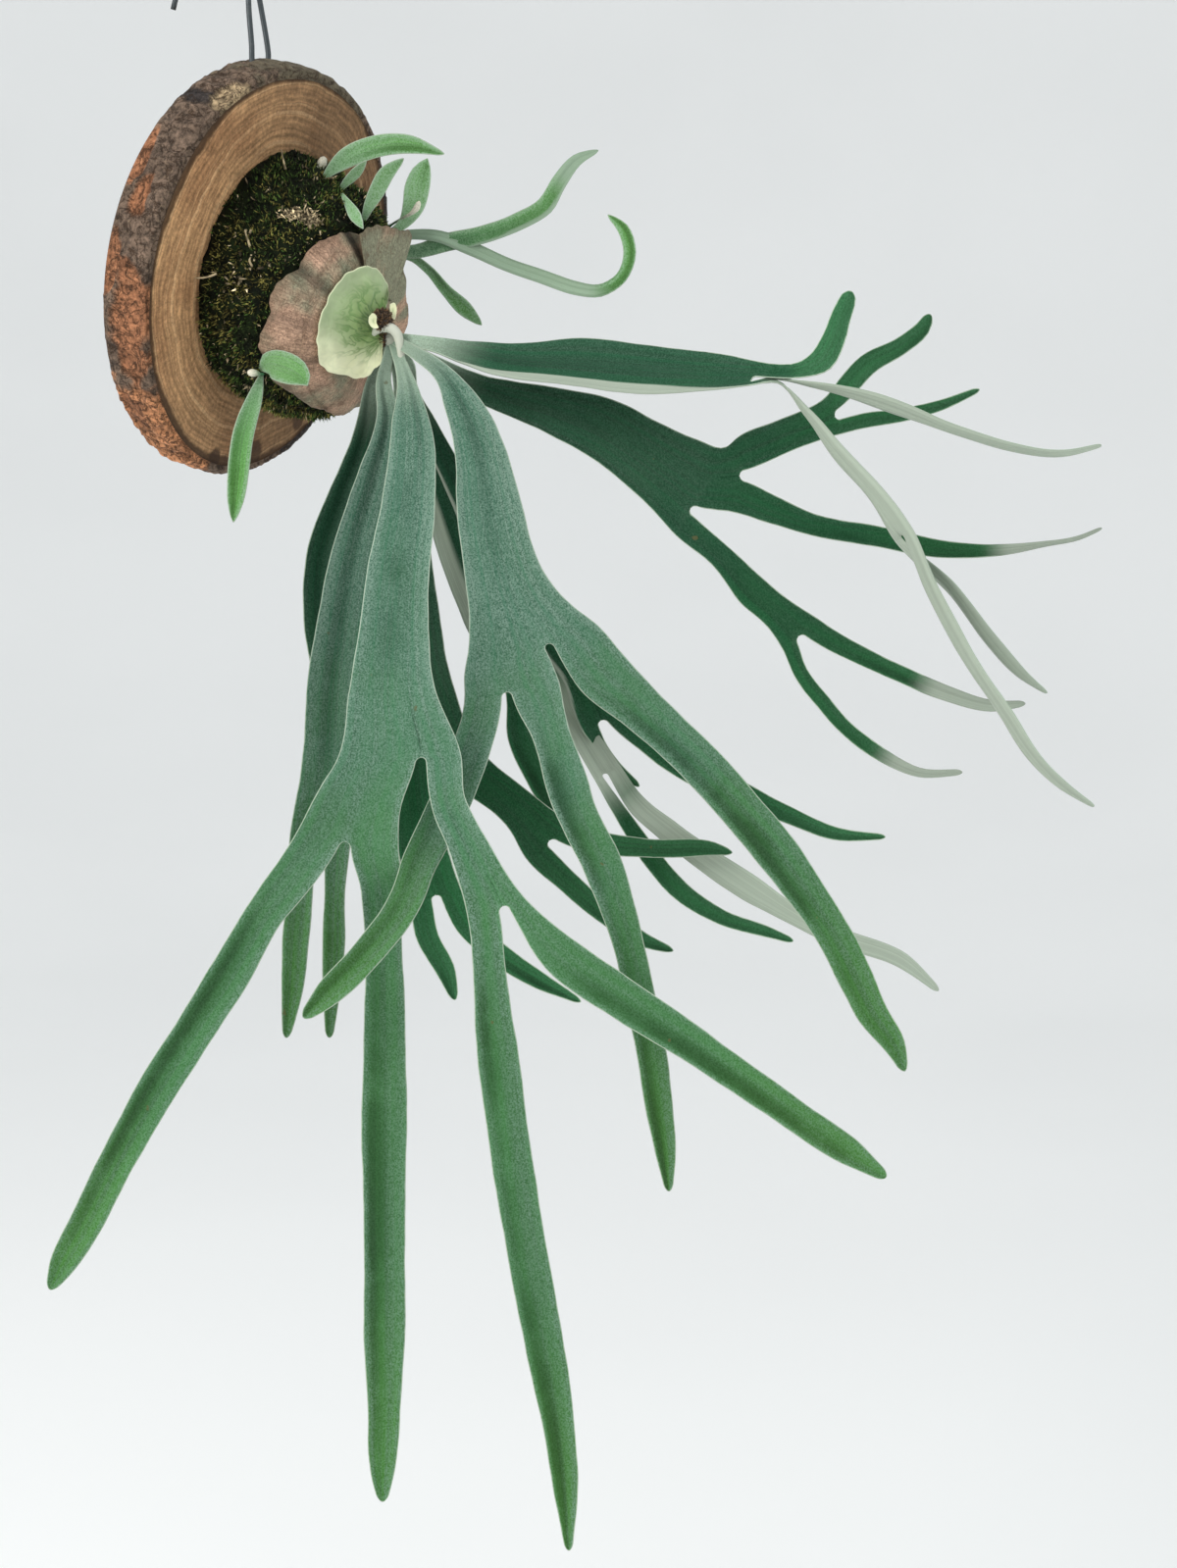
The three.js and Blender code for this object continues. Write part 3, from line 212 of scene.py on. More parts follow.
# Stations are (across, down, toward, width, roll); roll may be left out. The first arm is the
# one on the strip's left as it hangs down.
FRONDS = {
    "frond_front_centre": fork(0.68, [
        (5, 15, 9, 7), (10, 48, 35, 21), (8, 86, 58, 27), (4, 112, 70, 31), (1, 148, 84, 35),
        (0, 182, 95, 44), (3, 215, 103, 64),
    ], fork(0.47, [
        (-16, 236, 106, 44), (-22, 257, 107, 53),
    ], lobe([
        (-48, 272, 109, 23), (-67, 297, 110, 20), (-84, 326, 110, 21), (-102, 354, 108, 20),
        (-120, 383, 105, 20), (-138, 415, 101, 18), (-156, 450, 97, 17), (-168, 472, 94, 13),
        (-174, 484, 92, 5),
    ]), lobe([
        (-6, 280, 101, 23), (-5, 300, 96, 20), (-4, 328, 94, 20), (-4, 350, 94, 21),
        (-4, 401, 96, 23), (-4, 458, 98, 21), (-4, 502, 98, 21), (-4, 544, 98, 17),
        (-5, 578, 97, 12), (-5, 592, 96, 5),
    ])), fork(0.62, [
        (28, 237, 110, 20), (40, 262, 117, 21), (53, 291, 120, 31),
    ], lobe([
        (50, 320, 121, 18), (52, 348, 120, 20), (56, 382, 118, 21), (64, 438, 114, 21),
        (71, 478, 110, 20), (78, 515, 107, 20), (84, 549, 104, 17), (88, 582, 102, 13),
        (90, 617, 100, 4),
    ]), lobe([
        (86, 315, 124, 22), (120, 338, 126, 21), (162, 366, 125, 18), (204, 395, 120, 16),
        (232, 414, 114, 14), (251, 427, 108, 5),
    ]))),
    "frond_front_right": fork(0.63, [
        (14.5, 9, 18.5, 7), (27, 19, 29, 10), (36, 34, 38, 18), (45, 59, 50, 26), (50, 90, 60, 34),
        (54.8, 113, 64, 37), (60.3, 132.2, 66, 44), (65.5, 146.6, 66.5, 56), (70.5, 159.3, 67, 72),
    ], fork(0.44, [
        (61, 180, 72, 49),
    ], lobe([
        (43, 203, 80, 21), (31, 233, 94, 21), (21, 253, 101, 19), (14, 267, 106, 18),
        (5, 289, 113, 17), (-15, 316, 118, 16), (-32, 333, 119, 14), (-45, 346, 118, 5),
    ]), lobe([
        (81, 204, 81, 21), (89, 227, 91, 22), (96, 246, 99, 20), (107, 268, 102, 20),
        (115, 290, 103, 18), (121, 312, 102, 16), (126, 334, 100, 16), (132, 364, 96, 15),
        (136, 391, 91, 14), (139, 413, 87, 11), (141, 434, 84, 4),
    ])), lobe([
        (106, 170, 70, 30), (127, 189, 72, 24), (160, 220, 77, 22), (176, 238, 79, 22),
        (194, 259, 82, 22), (209, 280, 84, 20), (225, 304, 86, 18), (236, 326, 86, 18),
        (245, 344, 85, 16), (256, 360, 83, 11), (261, 373, 82, 4),
    ])),
    "frond_left_front": fork(0.5, [
        (-4, 18, 1, 7), (-2, 42, 15, 12), (-8, 72, 30, 20), (-17, 105, 42, 25), (-24, 142, 54, 27),
        (-29, 179, 62, 29), (-32, 222, 69, 29), (-37, 258, 73, 31),
    ], lobe([
        (-46, 282, 75, 14), (-49, 306, 75, 14), (-51, 332, 74, 11), (-54, 356, 72, 4),
    ]), lobe([
        (-30, 282, 75, 12), (-30, 305, 74, 12), (-31, 332, 72, 9), (-32, 356, 70, 4),
    ])),
    "frond_left_back": fork(0.5, [
        (-9, 20, -6, 7), (-13, 48, -2, 13), (-24, 82, 6, 18), (-32, 110, 12, 23),
        (-34, 147, 20, 22), (-31, 178, 26, 20), (-32, 198, 30, 22),
    ], lobe([
        (-37, 224, 34, 10), (-39, 248, 37, 4),
    ]), lobe([
        (-26, 224, 33, 10), (-25, 250, 36, 4),
    ])),
    "frond_middle_back": fork(0.5, [
        (5, 24, -3, 7), (6, 62, 8, 14), (8, 104, 22, 22), (11, 142, 34, 26), (19, 181, 44, 26),
        (34, 214, 49, 23), (65, 240.5, 52, 21), (80, 256, 52, 30),
    ], lobe([
        (91, 277, 51, 13), (106, 291, 50, 11), (127, 306, 49, 8), (143, 312, 48, 3),
    ]), lobe([
        (108, 258, 52, 13), (130, 260, 51, 10), (164, 260, 49, 7), (173, 262, 48, 3),
    ])),
    "frond_hanging_back": fork(0.5, [
        (4, 24, -11, 7), (6, 62, -6, 13), (6, 112, 4, 18), (8, 162, 14, 20), (10, 218, 24, 22),
        (15, 258, 32, 25), (22, 284, 36, 27),
    ], lobe([(19, 305, 38, 13), (27, 321, 39, 11), (32, 337, 39, 4)]), lobe([
        (37, 299, 38, 13), (54, 314, 38, 12), (75, 327, 37, 9), (96, 338, 36, 3),
    ])),
    "frond_right_low": fork(0.35, [
        (7, 12, 2, 7), (10, 27, 6, 7), (17, 42, 12, 9), (25, 58, 17, 11), (37, 81, 24, 15),
        (50, 106, 32, 20), (66, 131, 39, 24), (82, 149, 43, 25), (97, 166, 45, 26),
        (110.5, 192.5, 43, 31),
    ], lobe([(107.5, 208, 34, 7), (114.5, 218.5, 29, 7), (125.5, 228, 25, 3)]), lobe([
        (130, 204, 49, 17), (150, 218.5, 52, 15), (180, 233, 53, 12), (200, 242, 53, 9),
        (225, 252, 52, 7), (251, 254, 50, 3),
    ]), hem=0.12),
    "frond_right_pale": fork(0.48, [
        (7, 20, -18, 7), (18, 60, -14, 12), (31, 96, -5, 22), (42, 124, 4, 26),
        (56, 150, 14, 30), (71, 172, 24, 31),
    ], lobe([
        (66, 203, 28, 15), (76, 225, 30, 14), (89, 246, 30, 12), (105, 266, 29, 9),
        (121, 280, 28, 3),
    ]), fork(0.36, [
        (92, 194, 36, 14), (109.5, 221, 40, 15),
    ], lobe([
        (117, 242, 37, 8), (131, 263, 36, 10), (150, 284, 34, 10), (168, 295, 32, 8),
        (190, 302, 29, 6), (204, 307, 27, 3),
    ]), lobe([
        (123.5, 237, 42, 11.5), (140, 251, 42, 12.5), (158, 264, 41, 13), (185, 282, 38, 13),
        (203, 293, 36, 10), (225, 304, 33, 10), (260, 317, 29, 8), (278, 332, 26, 3),
    ], pale=260), pale=-1), hem=0.35),
    "frond_outer_top": fork(0.25, [
        (20, 3, 11, 8, 20), (38, 7.5, 19, 15, 35), (54, 11, 25, 23, 42), (89, 14, 38, 34, 48),
        (119, 16.5, 52, 37, 48), (146, 18.5, 62, 34, 46), (167, 19.3, 70, 25, 42),
        (184, 19.4, 76, 15.5, 38),
    ], fork(0.5, [
        (196, 22.8, 80, 7, 70),
    ], fork(0.5, [
        (209, 38, 82, 12, 106), (224, 57, 85, 15, 112), (242, 78, 88, 18, 115),
        (258, 101, 90, 24, 118),
    ], lobe([
        (275, 132, 92, 15, 118), (290, 160, 92, 14, 118), (310, 191, 90, 14, 118),
        (326, 214, 88, 12, 118), (342, 230, 85, 9, 118), (357, 240, 82, 3, 118),
    ]), lobe([
        (284, 128, 86, 14, 118), (303, 155, 82, 12, 118), (319, 172, 80, 10, 118),
        (333, 182, 78, 3, 118),
    ]), pale=-1), lobe([
        (212, 24.5, 84, 9, 108), (232, 28.8, 90, 12, 112), (259, 37.8, 96, 13, 115),
        (288, 49, 100, 12, 115), (315, 56.5, 102, 10, 115), (342, 60, 102, 7, 115),
        (362, 56, 100, 3, 115),
    ]), pale=-1), lobe([
        (196, 18.8, 79, 10.5, 36), (208, 17.6, 81, 10.5, 28), (219.5, 11.4, 84, 14, 14),
        (225.5, 0, 86, 12.5, 8), (229, -11.5, 87, 10.5), (232.5, -21, 87, 8), (233.5, -24, 87, 6),
    ]), hem=0.25),
    "frond_outer_low": fork(0.3, [
        (23, 13, -12, 7), (42, 24, -4, 13), (62, 31, 5, 18), (80, 36, 14, 23), (107, 46, 22, 31),
        (127, 58, 28, 35), (145, 70, 34, 42), (158, 78, 38, 51),
    ], fork(0.45, [
        (169, 112, 40, 14), (183, 128, 42, 17), (198, 141, 44, 18), (208, 151, 45, 24),
    ], lobe([
        (209, 170, 46, 9), (220, 185, 47, 9), (231, 198, 47, 8), (249, 212, 47, 7),
        (268, 221, 46, 5), (290, 221, 44, 3),
    ], pale=48), lobe([
        (224, 155, 46, 12), (236, 161, 46, 11), (259, 171, 46, 9), (283, 181, 45, 8),
        (305, 187, 44, 6), (322, 186, 42, 3),
    ], pale=60)), fork(0.5, [
        (177, 70, 42, 39),
    ], lobe([
        (193, 86, 43, 16), (213, 94, 44, 12), (248, 101, 46, 11), (278, 107, 47, 9),
        (312, 109, 48, 7, 40), (334, 106, 48, 6, 70), (350, 103, 47, 5, 70), (362, 98, 46, 3, 70),
    ], pale=62), fork(0.45, [
        (200, 50, 42, 18), (225, 39, 42, 21),
    ], lobe([(241, 41, 43, 9), (256, 39, 44, 8), (279, 34, 45, 6), (299, 26, 45, 3)]), lobe([
        (233, 24, 43, 13), (242, 14, 44, 12.5), (258, 5, 45, 10), (270, -5, 45, 8),
        (274, -12, 45, 5),
    ])))),
}

YOUNG_LEAVES = {
    "strap_upper": lobe([
        (-3, -45, -60, 5), (12, -44.5, -59, 7), (28, -49, -54, 9), (46, -53, -47, 9),
        (65, -60, -43, 9), (78, -68, -38, 9), (85, -80, -35, 8), (94, -91, -33, 6),
        (105, -96, -32, 2),
    ], pale=36, hem=0.24),
    "strap_curled": lobe([
        (-6, -51, -59, 4), (9, -53, -55, 5), (22, -52.5, -52, 6), (39, -46.5, -52, 7),
        (58, -38, -51, 7), (78, -31, -48.6, 7), (94, -25.5, -43.6, 7), (106, -24.5, -41.6, 6.5),
        (116.5, -31, -39.6, 6), (121, -44, -38.6, 6.5), (117.5, -56, -37.6, 6),
        (110, -63, -37.6, 2),
    ], pale=-42),
    "strap_lower": lobe([
        (-2, -40, -62.3, 4), (8, -42, -64.3, 4), (18, -35.5, -65.3, 4.6), (28, -24, -62.3, 6),
        (37.5, -14.5, -58.3, 8), (46, -6.5, -54.3, 2),
    ]),
    "pup_broad": lobe([
        (-36, -80, -2, 1.6), (-32.5, -84.5, 1, 4.5), (-25, -91, 4.3, 9.5), (-8, -98, 8.3, 11),
        (10, -99, 12.3, 9), (27, -94, 16.3, 2),
    ]),
    "pup_small_top": lobe([
        (-27.5, -74.5, -2, 1.4), (-23.5, -79.5, 2, 4), (-18.5, -84.5, 5, 5.5), (-13, -91, 9.1, 2),
    ]),
    "pup_slim": lobe([
        (-15.5, -58, 4, 1.6), (-12.5, -66, 7, 5), (-8, -75, 9.7, 8), (-3, -84, 12.7, 8),
        (6, -92, 15.7, 2),
    ]),
    "pup_oval": lobe([
        (-2, -53, -44, 3), (6, -59, -42, 6), (10.5, -67, -40, 11), (12.5, -76, -38, 13),
        (15, -85, -36, 10), (18, -92, -34, 2),
    ]),
    "pup_small_low": lobe([
        (-25.5, -73.5, 7, 1.5), (-21.8, -67.5, 13, 4.5), (-18.2, -61.5, 18.5, 6),
        (-14.5, -55.5, 20, 1.5),
    ]),
    "pup_left_oval": lobe([
        (-67, 15.5, 15.5, 2), (-63.5, 12.8, 22, 10), (-59, 13.4, 29, 15), (-53.5, 15.2, 34, 16),
        (-48, 18.2, 38, 13.5), (-44.6, 21.6, 39.5, 8), (-42.8, 24.5, 40.5, 2),
    ]),
    "pup_left_strap": lobe([
        (-66.5, 18, 9, 2), (-70, 30, 14, 7.5), (-74, 42, 18, 10), (-77, 55, 22, 11),
        (-78.5, 68, 24.4, 11), (-80, 84, 26.4, 8), (-81, 94, 27.4, 2),
    ]),
}

# Unopened leaves, from the foot: (across, down, toward, width)
MOSS_BUDS = {
    "bud_top": (
        (-39.6, -78, -8, 1.6), (-38.6, -83, -7, 2.2), (-37, -87, -6.2, 3.8),
        (-35.7, -89.8, -5.8, 4.9), (-34.9, -92, -5.6, 3.4), (-34.7, -92.8, -5.6, 0.6),
    ),
    "bud_right": (
        (-4, -55, -50, 1.3), (0, -58.3, -45, 1.2), (5, -61.3, -40, 1.3), (9.6, -63.8, -35.5, 2.0),
        (12.3, -66.5, -34, 3.4), (13.4, -69, -33.5, 2.6), (13.8, -70.2, -33.4, 0.6),
    ),
    "bud_left": (
        (-65.5, 18, 15.5, 1.2), (-67.5, 17.9, 17, 1.6), (-69.6, 17.6, 18, 3.4),
        (-71.6, 17.4, 18, 4.0), (-73.2, 17.3, 17.8, 2.6), (-73.8, 17.3, 17.6, 0.6),
    ),
}


# Meshes
WELD_STEPS = 2000  # to the millimetre; points at the same step become one

# A spike has three corners at its foot, three at its bend, and a tip
SPIKE_FACES = (
    (0, 1, 4, 3), (3, 4, 6, 6), (1, 2, 5, 4), (4, 5, 6, 6), (2, 0, 3, 5), (5, 3, 6, 6),
    (2, 1, 0, 0),
)
SPIKE_HEIGHTS = (0, 0, 0, 0.5, 0.5, 0.5, 1)


def smooth_step(value, low, high):
    share = np.clip((value - low) / (high - low), 0, 1)
    return share * share * (3 - 2 * share)


def rough(points, size, octaves=4, seed=0.0):
    """Fractal noise, about -1 to 1, with lumps of the given size in millimetres."""
    shift = Vector((seed, 1.7 * seed, 0.6 * seed))
    return np.array([
        noise.fractal(Vector(point) / size + shift, 1.0, 2.0, octaves) for point in points
    ])


def grid_quads(rows, columns, closed=False):
    """Quads of a grid stored row after row. A closed one joins its last column to its first."""
    r, c = np.meshgrid(
        np.arange(rows - 1), np.arange(columns if closed else columns - 1), indexing="ij")
    near, far = r * columns, (r + 1) * columns
    beside = (c + 1) % columns
    return np.stack([near + c, far + c, far + beside, near + beside], -1).reshape(-1, 4)


def capped_rings(rows, sides):
    """Faces of rings stored one after the other, and then the middles of their two caps."""
    turn = np.arange(sides)
    beside = (turn + 1) % sides
    hub = rows * sides
    last = hub - sides
    return np.concatenate([
        grid_quads(rows, sides, closed=True),
        np.stack([np.full(sides, hub), turn, beside, beside], -1),
        np.stack([np.full(sides, hub + 1), last + beside, last + turn, last + turn], -1),
    ])


def show(name, data):
    """A new object in the scene."""
    made = bpy.data.objects.new(name, data)
    bpy.context.scene.collection.objects.link(made)
    return made


class Skin:
    """Faces gathered in millimetres. Each point has marks that its finish reads."""

    def __init__(self, *mark_names):
        self.mark_names = mark_names
        self.points, self.marks, self.faces = [], [], []
        self.count = 0

    def add(self, points, faces, *marks):
        """Marks hold three numbers a point, one array for each mark name."""
        points = np.asarray(points).reshape(-1, 3)
        self.points.append(points)
        self.marks.append([np.asarray(mark).reshape(-1, 3) for mark in marks])
        self.faces.append(np.asarray(faces) + self.count)
        self.count += len(points)

    def welded(self):
        points = np.concatenate(self.points)
        keys = np.round(points * WELD_STEPS).astype(np.int64)
        _, first, place_of = np.unique(keys, axis=0, return_index=True, return_inverse=True)
        place_of = place_of.ravel()
        faces = []
        for block in self.faces:
            for corners in place_of[block].tolist():
                ring = [a for a, b in zip(corners, corners[1:] + corners[:1]) if a != b]
                if len(ring) > 2:
                    faces.append(ring)
        marks = [
            np.concatenate([block[i] for block in self.marks])[first]
            for i in range(len(self.mark_names))
        ]
        return points[first], faces, marks

    def piece(self, name, finish, slot, *replaced):
        """The object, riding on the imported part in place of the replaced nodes."""
        points, faces, marks = self.welded()
        mesh = bpy.data.meshes.new(name)
        mesh.from_pydata((points * MM).tolist(), [], faces)
        shell = bmesh.new()
        shell.from_mesh(mesh)
        bmesh.ops.recalc_face_normals(shell, faces=shell.faces)
        shell.to_mesh(mesh)
        shell.free()
        mesh.shade_smooth()
        for label, values in zip(self.mark_names, marks):
            layer = mesh.attributes.new(label, "FLOAT_VECTOR", "POINT")
            layer.data.foreach_set("vector", values.astype(np.float32).ravel())
        mesh.materials.append(finish)
        made = show(name, mesh)
        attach(made, "root")
        if replaced:
            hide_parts(*replaced)


def sheet_faces(rows, columns, has_start, has_end):
    """Faces of a grid's upper side, of its lower side after it, and of the walls between them."""
    size = rows * columns
    top = grid_quads(rows, columns)
    i = np.arange(rows - 1) * columns
    j = np.arange(columns - 1)
    last, end = i + columns - 1, j + size - columns
    faces = [
        top, top[:, ::-1] + size,
        np.stack([i, i + size, i + columns + size, i + columns], -1),
        np.stack([last, last + columns, last + columns + size, last + size], -1),
    ]
    if has_start:
        faces.append(np.stack([j, j + 1, j + 1 + size, j + size], -1))
    if has_end:
        faces.append(np.stack([end, end + size, end + 1 + size, end + 1], -1))
    return np.concatenate(faces)


def add_sheet(skin, low, high, marks, closed=False):
    """A sheet between two grids of points, (rows, columns, 3). A closed one meets its start."""
    faces = sheet_faces(*low.shape[:2], not closed, not closed)
    skin.add(np.stack([high, low]), faces, np.stack([marks, marks]))


def add_spikes(skin, feet, tips, widths, bends, marks):
    """Thin tapering spikes, bent at half their length. The third number of each one's marks
    becomes the height on it, from 0 to 1."""
    heading = units(tips - feet)
    helper = np.where(np.abs(heading[:, 2:]) > 0.8, [[1.0, 0, 0]], [[0, 0, 1.0]])
    across = units(np.cross(heading, helper))
    beside = np.cross(heading, across)
    corners = []
    for centre, share in ((feet, 1.0), ((feet + tips) / 2 + bends, 0.75)):
        for i in range(3):
            turn = 2 * math.pi * i / 3
            around = across * math.cos(turn) + beside * math.sin(turn)
            corners.append(centre + around * (widths * share / 2)[:, None])
    corners.append(tips)
    size = len(corners)
    faces = np.array(SPIKE_FACES) + np.arange(len(feet))[:, None, None] * size
    marks = np.repeat(marks[:, None], size, 1)
    marks[..., 2] = SPIKE_HEIGHTS
    skin.add(np.stack(corners, 1), faces.reshape(-1, 4), marks)


# Finishes
class Finish:
    """A material whose nodes are written as plain expressions."""

    def __init__(self, name, **sockets):
        self.material = bpy.data.materials.new(name)
        self.material.use_nodes = True
        self.nodes = self.material.node_tree.nodes
        self.links = self.material.node_tree.links
        self.shader = self.nodes["Principled BSDF"]
        for label, value in sockets.items():
            self.shader.inputs[label.replace("_", " ")].default_value = value

    def node(self, kind, inputs, **settings):
        made = self.nodes.new("ShaderNode" + kind)
        for label, value in settings.items():
            setattr(made, label, value)
        for key, value in inputs.items():
            self.put(made.inputs[key], value)
        return made

    def put(self, socket, value):
        if isinstance(value, bpy.types.NodeSocket):
            self.links.new(value, socket)
        else:
            colour = socket.type == "RGBA" and len(value) == 3
            socket.default_value = (*value, 1) if colour else value

    def mark(self, name):
        """The three numbers of a mark."""
        layer = self.node("Attribute", {}, attribute_name=name, attribute_type="GEOMETRY")
        return self.node("SeparateXYZ", {"Vector": layer.outputs["Vector"]}).outputs

    def place(self):
        return self.node("TexCoord", {}).outputs["Object"]

    def vector(self, x, y, z):
        return self.node("CombineXYZ", {"X": x, "Y": y, "Z": z}).outputs["Vector"]

    def noise(self, size, detail=3, vector=None, roughness=0.5, distortion=0.0):
        """Noise from 0 to 1 with lumps of about that many millimetres."""
        scale = 1 if vector else 1 / (size * MM)
        return self.node("TexNoise", {
            "Vector": vector or self.place(), "Scale": scale, "Detail": detail,
            "Roughness": roughness, "Distortion": distortion,
        }).outputs["Fac"]

    def math(self, operation, *values):
        return self.node(
            "Math", dict(enumerate(values)), operation=operation).outputs["Value"]

    def plus(self, value, more):
        return self.math("ADD", value, more)

    def less(self, value, taken):
        return self.math("SUBTRACT", value, taken)

    def times(self, value, factor):
        return self.math("MULTIPLY", value, factor)

    def over(self, value, divisor):
        return self.math("DIVIDE", value, divisor)

    def span(self, value, low, high, to_low=0.0, to_high=1.0):
        """A smooth change from to_low to to_high as value goes from low to high."""
        return self.node("MapRange", {
            "Value": value, "From Min": low, "From Max": high, "To Min": to_low,
            "To Max": to_high,
        }, interpolation_type="SMOOTHSTEP").outputs["Result"]

    def mix(self, share, under, over, blend="MIX"):
        return self.node(
            "Mix", {0: share, 6: under, 7: over}, data_type="RGBA", blend_type=blend
        ).outputs[2]

    def weigh(self, value, *changes):
        """The value times a smooth change for each (value, low, high, to_low, to_high)."""
        for change in changes:
            value = self.times(value, self.span(*change))
        return value

    def shade(self, colour, value):
        """The colour times a plain number."""
        grey = self.vector(value, value, value)
        return self.mix(1.0, colour, grey, "MULTIPLY")

    def mottle(self, colour, value, dark, light, low=0.3, high=0.7):
        """The colour times dark where the value is low, and times light where it is high."""
        return self.shade(colour, self.span(value, low, high, dark, light))

    def lines(self, value, width):
        """1 along the lines where a noise crosses its middle, and 0 away from them."""
        return self.span(self.math("ABSOLUTE", self.less(value, 0.5)), width, 0.0)

    def done(self, colour, height=None, depth=0.2, roughness=None):
        """Height is a 0 to 1 relief that is depth millimetres deep."""
        self.put(self.shader.inputs["Base Color"], colour)
        if roughness is not None:
            self.put(self.shader.inputs["Roughness"], roughness)
        if height is not None:
            bump = self.node("Bump", {"Height": height, "Distance": depth * MM, "Strength": 1.0})
            self.put(self.shader.inputs["Normal"], bump.outputs["Normal"])
        return self.material


# Log slice
def slice_radius(angle):
    return (
        SLICE_RADIUS + SLICE_OVAL * np.cos(angle - math.radians(SLICE_OVAL_TURN))
        + SLICE_LOBE * np.cos(3 * angle - math.radians(SLICE_LOBE_TURN))
    )


def bark_patch(angle, depth, where, ragged):
    """How far each point of the bark is in a patch, from 0 to 1."""
    middle, half_angle, mid_depth, half_depth = where
    away = np.hypot(
        degrees_past(angle, middle) / half_angle, (depth - mid_depth) / half_depth)
    return smooth_step(1.0 - away + 0.45 * ragged, 0, 0.25)


SLICE_SIDES = 420
FACE_RINGS, RIM_RINGS, BACK_RINGS = 44, 44, 14
FACE_INSET = BARK_THICKNESS + 0.6
BACK_INSET = 2.5
# The painted light on the sawn face is brightest this many degrees round it
FACE_LIGHT_TURN = 188

# Dark knots on the sawn face: degrees round the slice, mm from its middle, size
FACE_KNOTS = ((307, 93, 6.5), (283, 97, 8), (262, 101, 6), (322, 99, 7))

# Patches of bark: middle and half width in degrees round the slice, then in depth from the face
BARK_CAP = (92, 31, 12, 30)
BARK_TORN = (132, 8, 3, 7)
BARK_WORN = ((203, 18, 9, 13), (170, 7, 14, 6), (158, 10, 24, 6), (232, 9, 19, 8), (188, 9, 23, 6))
BARK_RED = (243, 26, 13, 30)
BARK_DARK = ((0, 58, 10, 40), (136, 3.5, 16, 14), (318, 24, 10, 40))


def rim_steps():
    """Steps of the rim from the face to the back: (out of the face, growth, share of relief)."""
    knots = np.array([
        (0, -FACE_INSET, 0), (-0.9, -BARK_THICKNESS + 0.3, 0),
        (-0.5, -BARK_THICKNESS + 0.9, 0.1), (-0.2, -2.4, 0.3), (-0.7, -0.9, 0.6),
        (-3, 0.1, 1), (-9, 0.8, 1), (-16, 0.8, 1), (-22, 0, 1), (-25.2, -0.9, 0.6),
        (-SLICE_THICKNESS, -BACK_INSET, 0),
    ])
    run = np.concatenate([[0], np.cumsum(np.hypot(*np.diff(knots[:, :2], axis=0).T))])
    fine = np.linspace(0, run[-1], RIM_RINGS)
    return np.stack([np.interp(fine, run, knots[:, i]) for i in range(3)], -1)


def bark_look(angle, edge, out, sizes):
    """Relief, colour with painted shade in the fissures and painted light on the ridges, and
    smoothness of the bark round the rim, that far out of the face.
    """
    rim = round_axis(edge, angle, out)
    ragged = rough(rim, 13, 4, 2.5)
    fissures = rough(rim * [1, 1, 0.35], 5.5, 4, 9.3)

    def patch(*spots):
        return np.maximum.reduce([bark_patch(angle, -out, spot, ragged) for spot in spots])

    cap, torn, red = patch(BARK_CAP), patch(BARK_TORN), patch(BARK_RED)
    worn, dark = patch(*BARK_WORN), patch(*BARK_DARK)
    height = 1.5 * fissures * (1 - 0.65 * cap) * (1 - 0.6 * worn) + 0.6 * cap - 1.1 * worn
    height = height - 1.2 * torn - 0.3
    colour = np.tile(np.array(sizes.bark_colour), (len(angle), 1))
    for share, shade in (
        (red, sizes.bark_red_colour), (worn, sizes.bark_worn_colour),
        (cap, sizes.bark_cap_colour), (dark, sizes.bark_dark_colour),
        (torn, sizes.bark_torn_colour),
    ):
        colour += share[:, None] * (np.array(shade) - colour)
    # Painted shade in the fissures and painted light on the ridges between them
    shadow = np.clip(1 + 0.5 * fissures * (1 - 0.5 * cap), 0.35, 1.3)
    return height, colour * shadow[:, None], cap


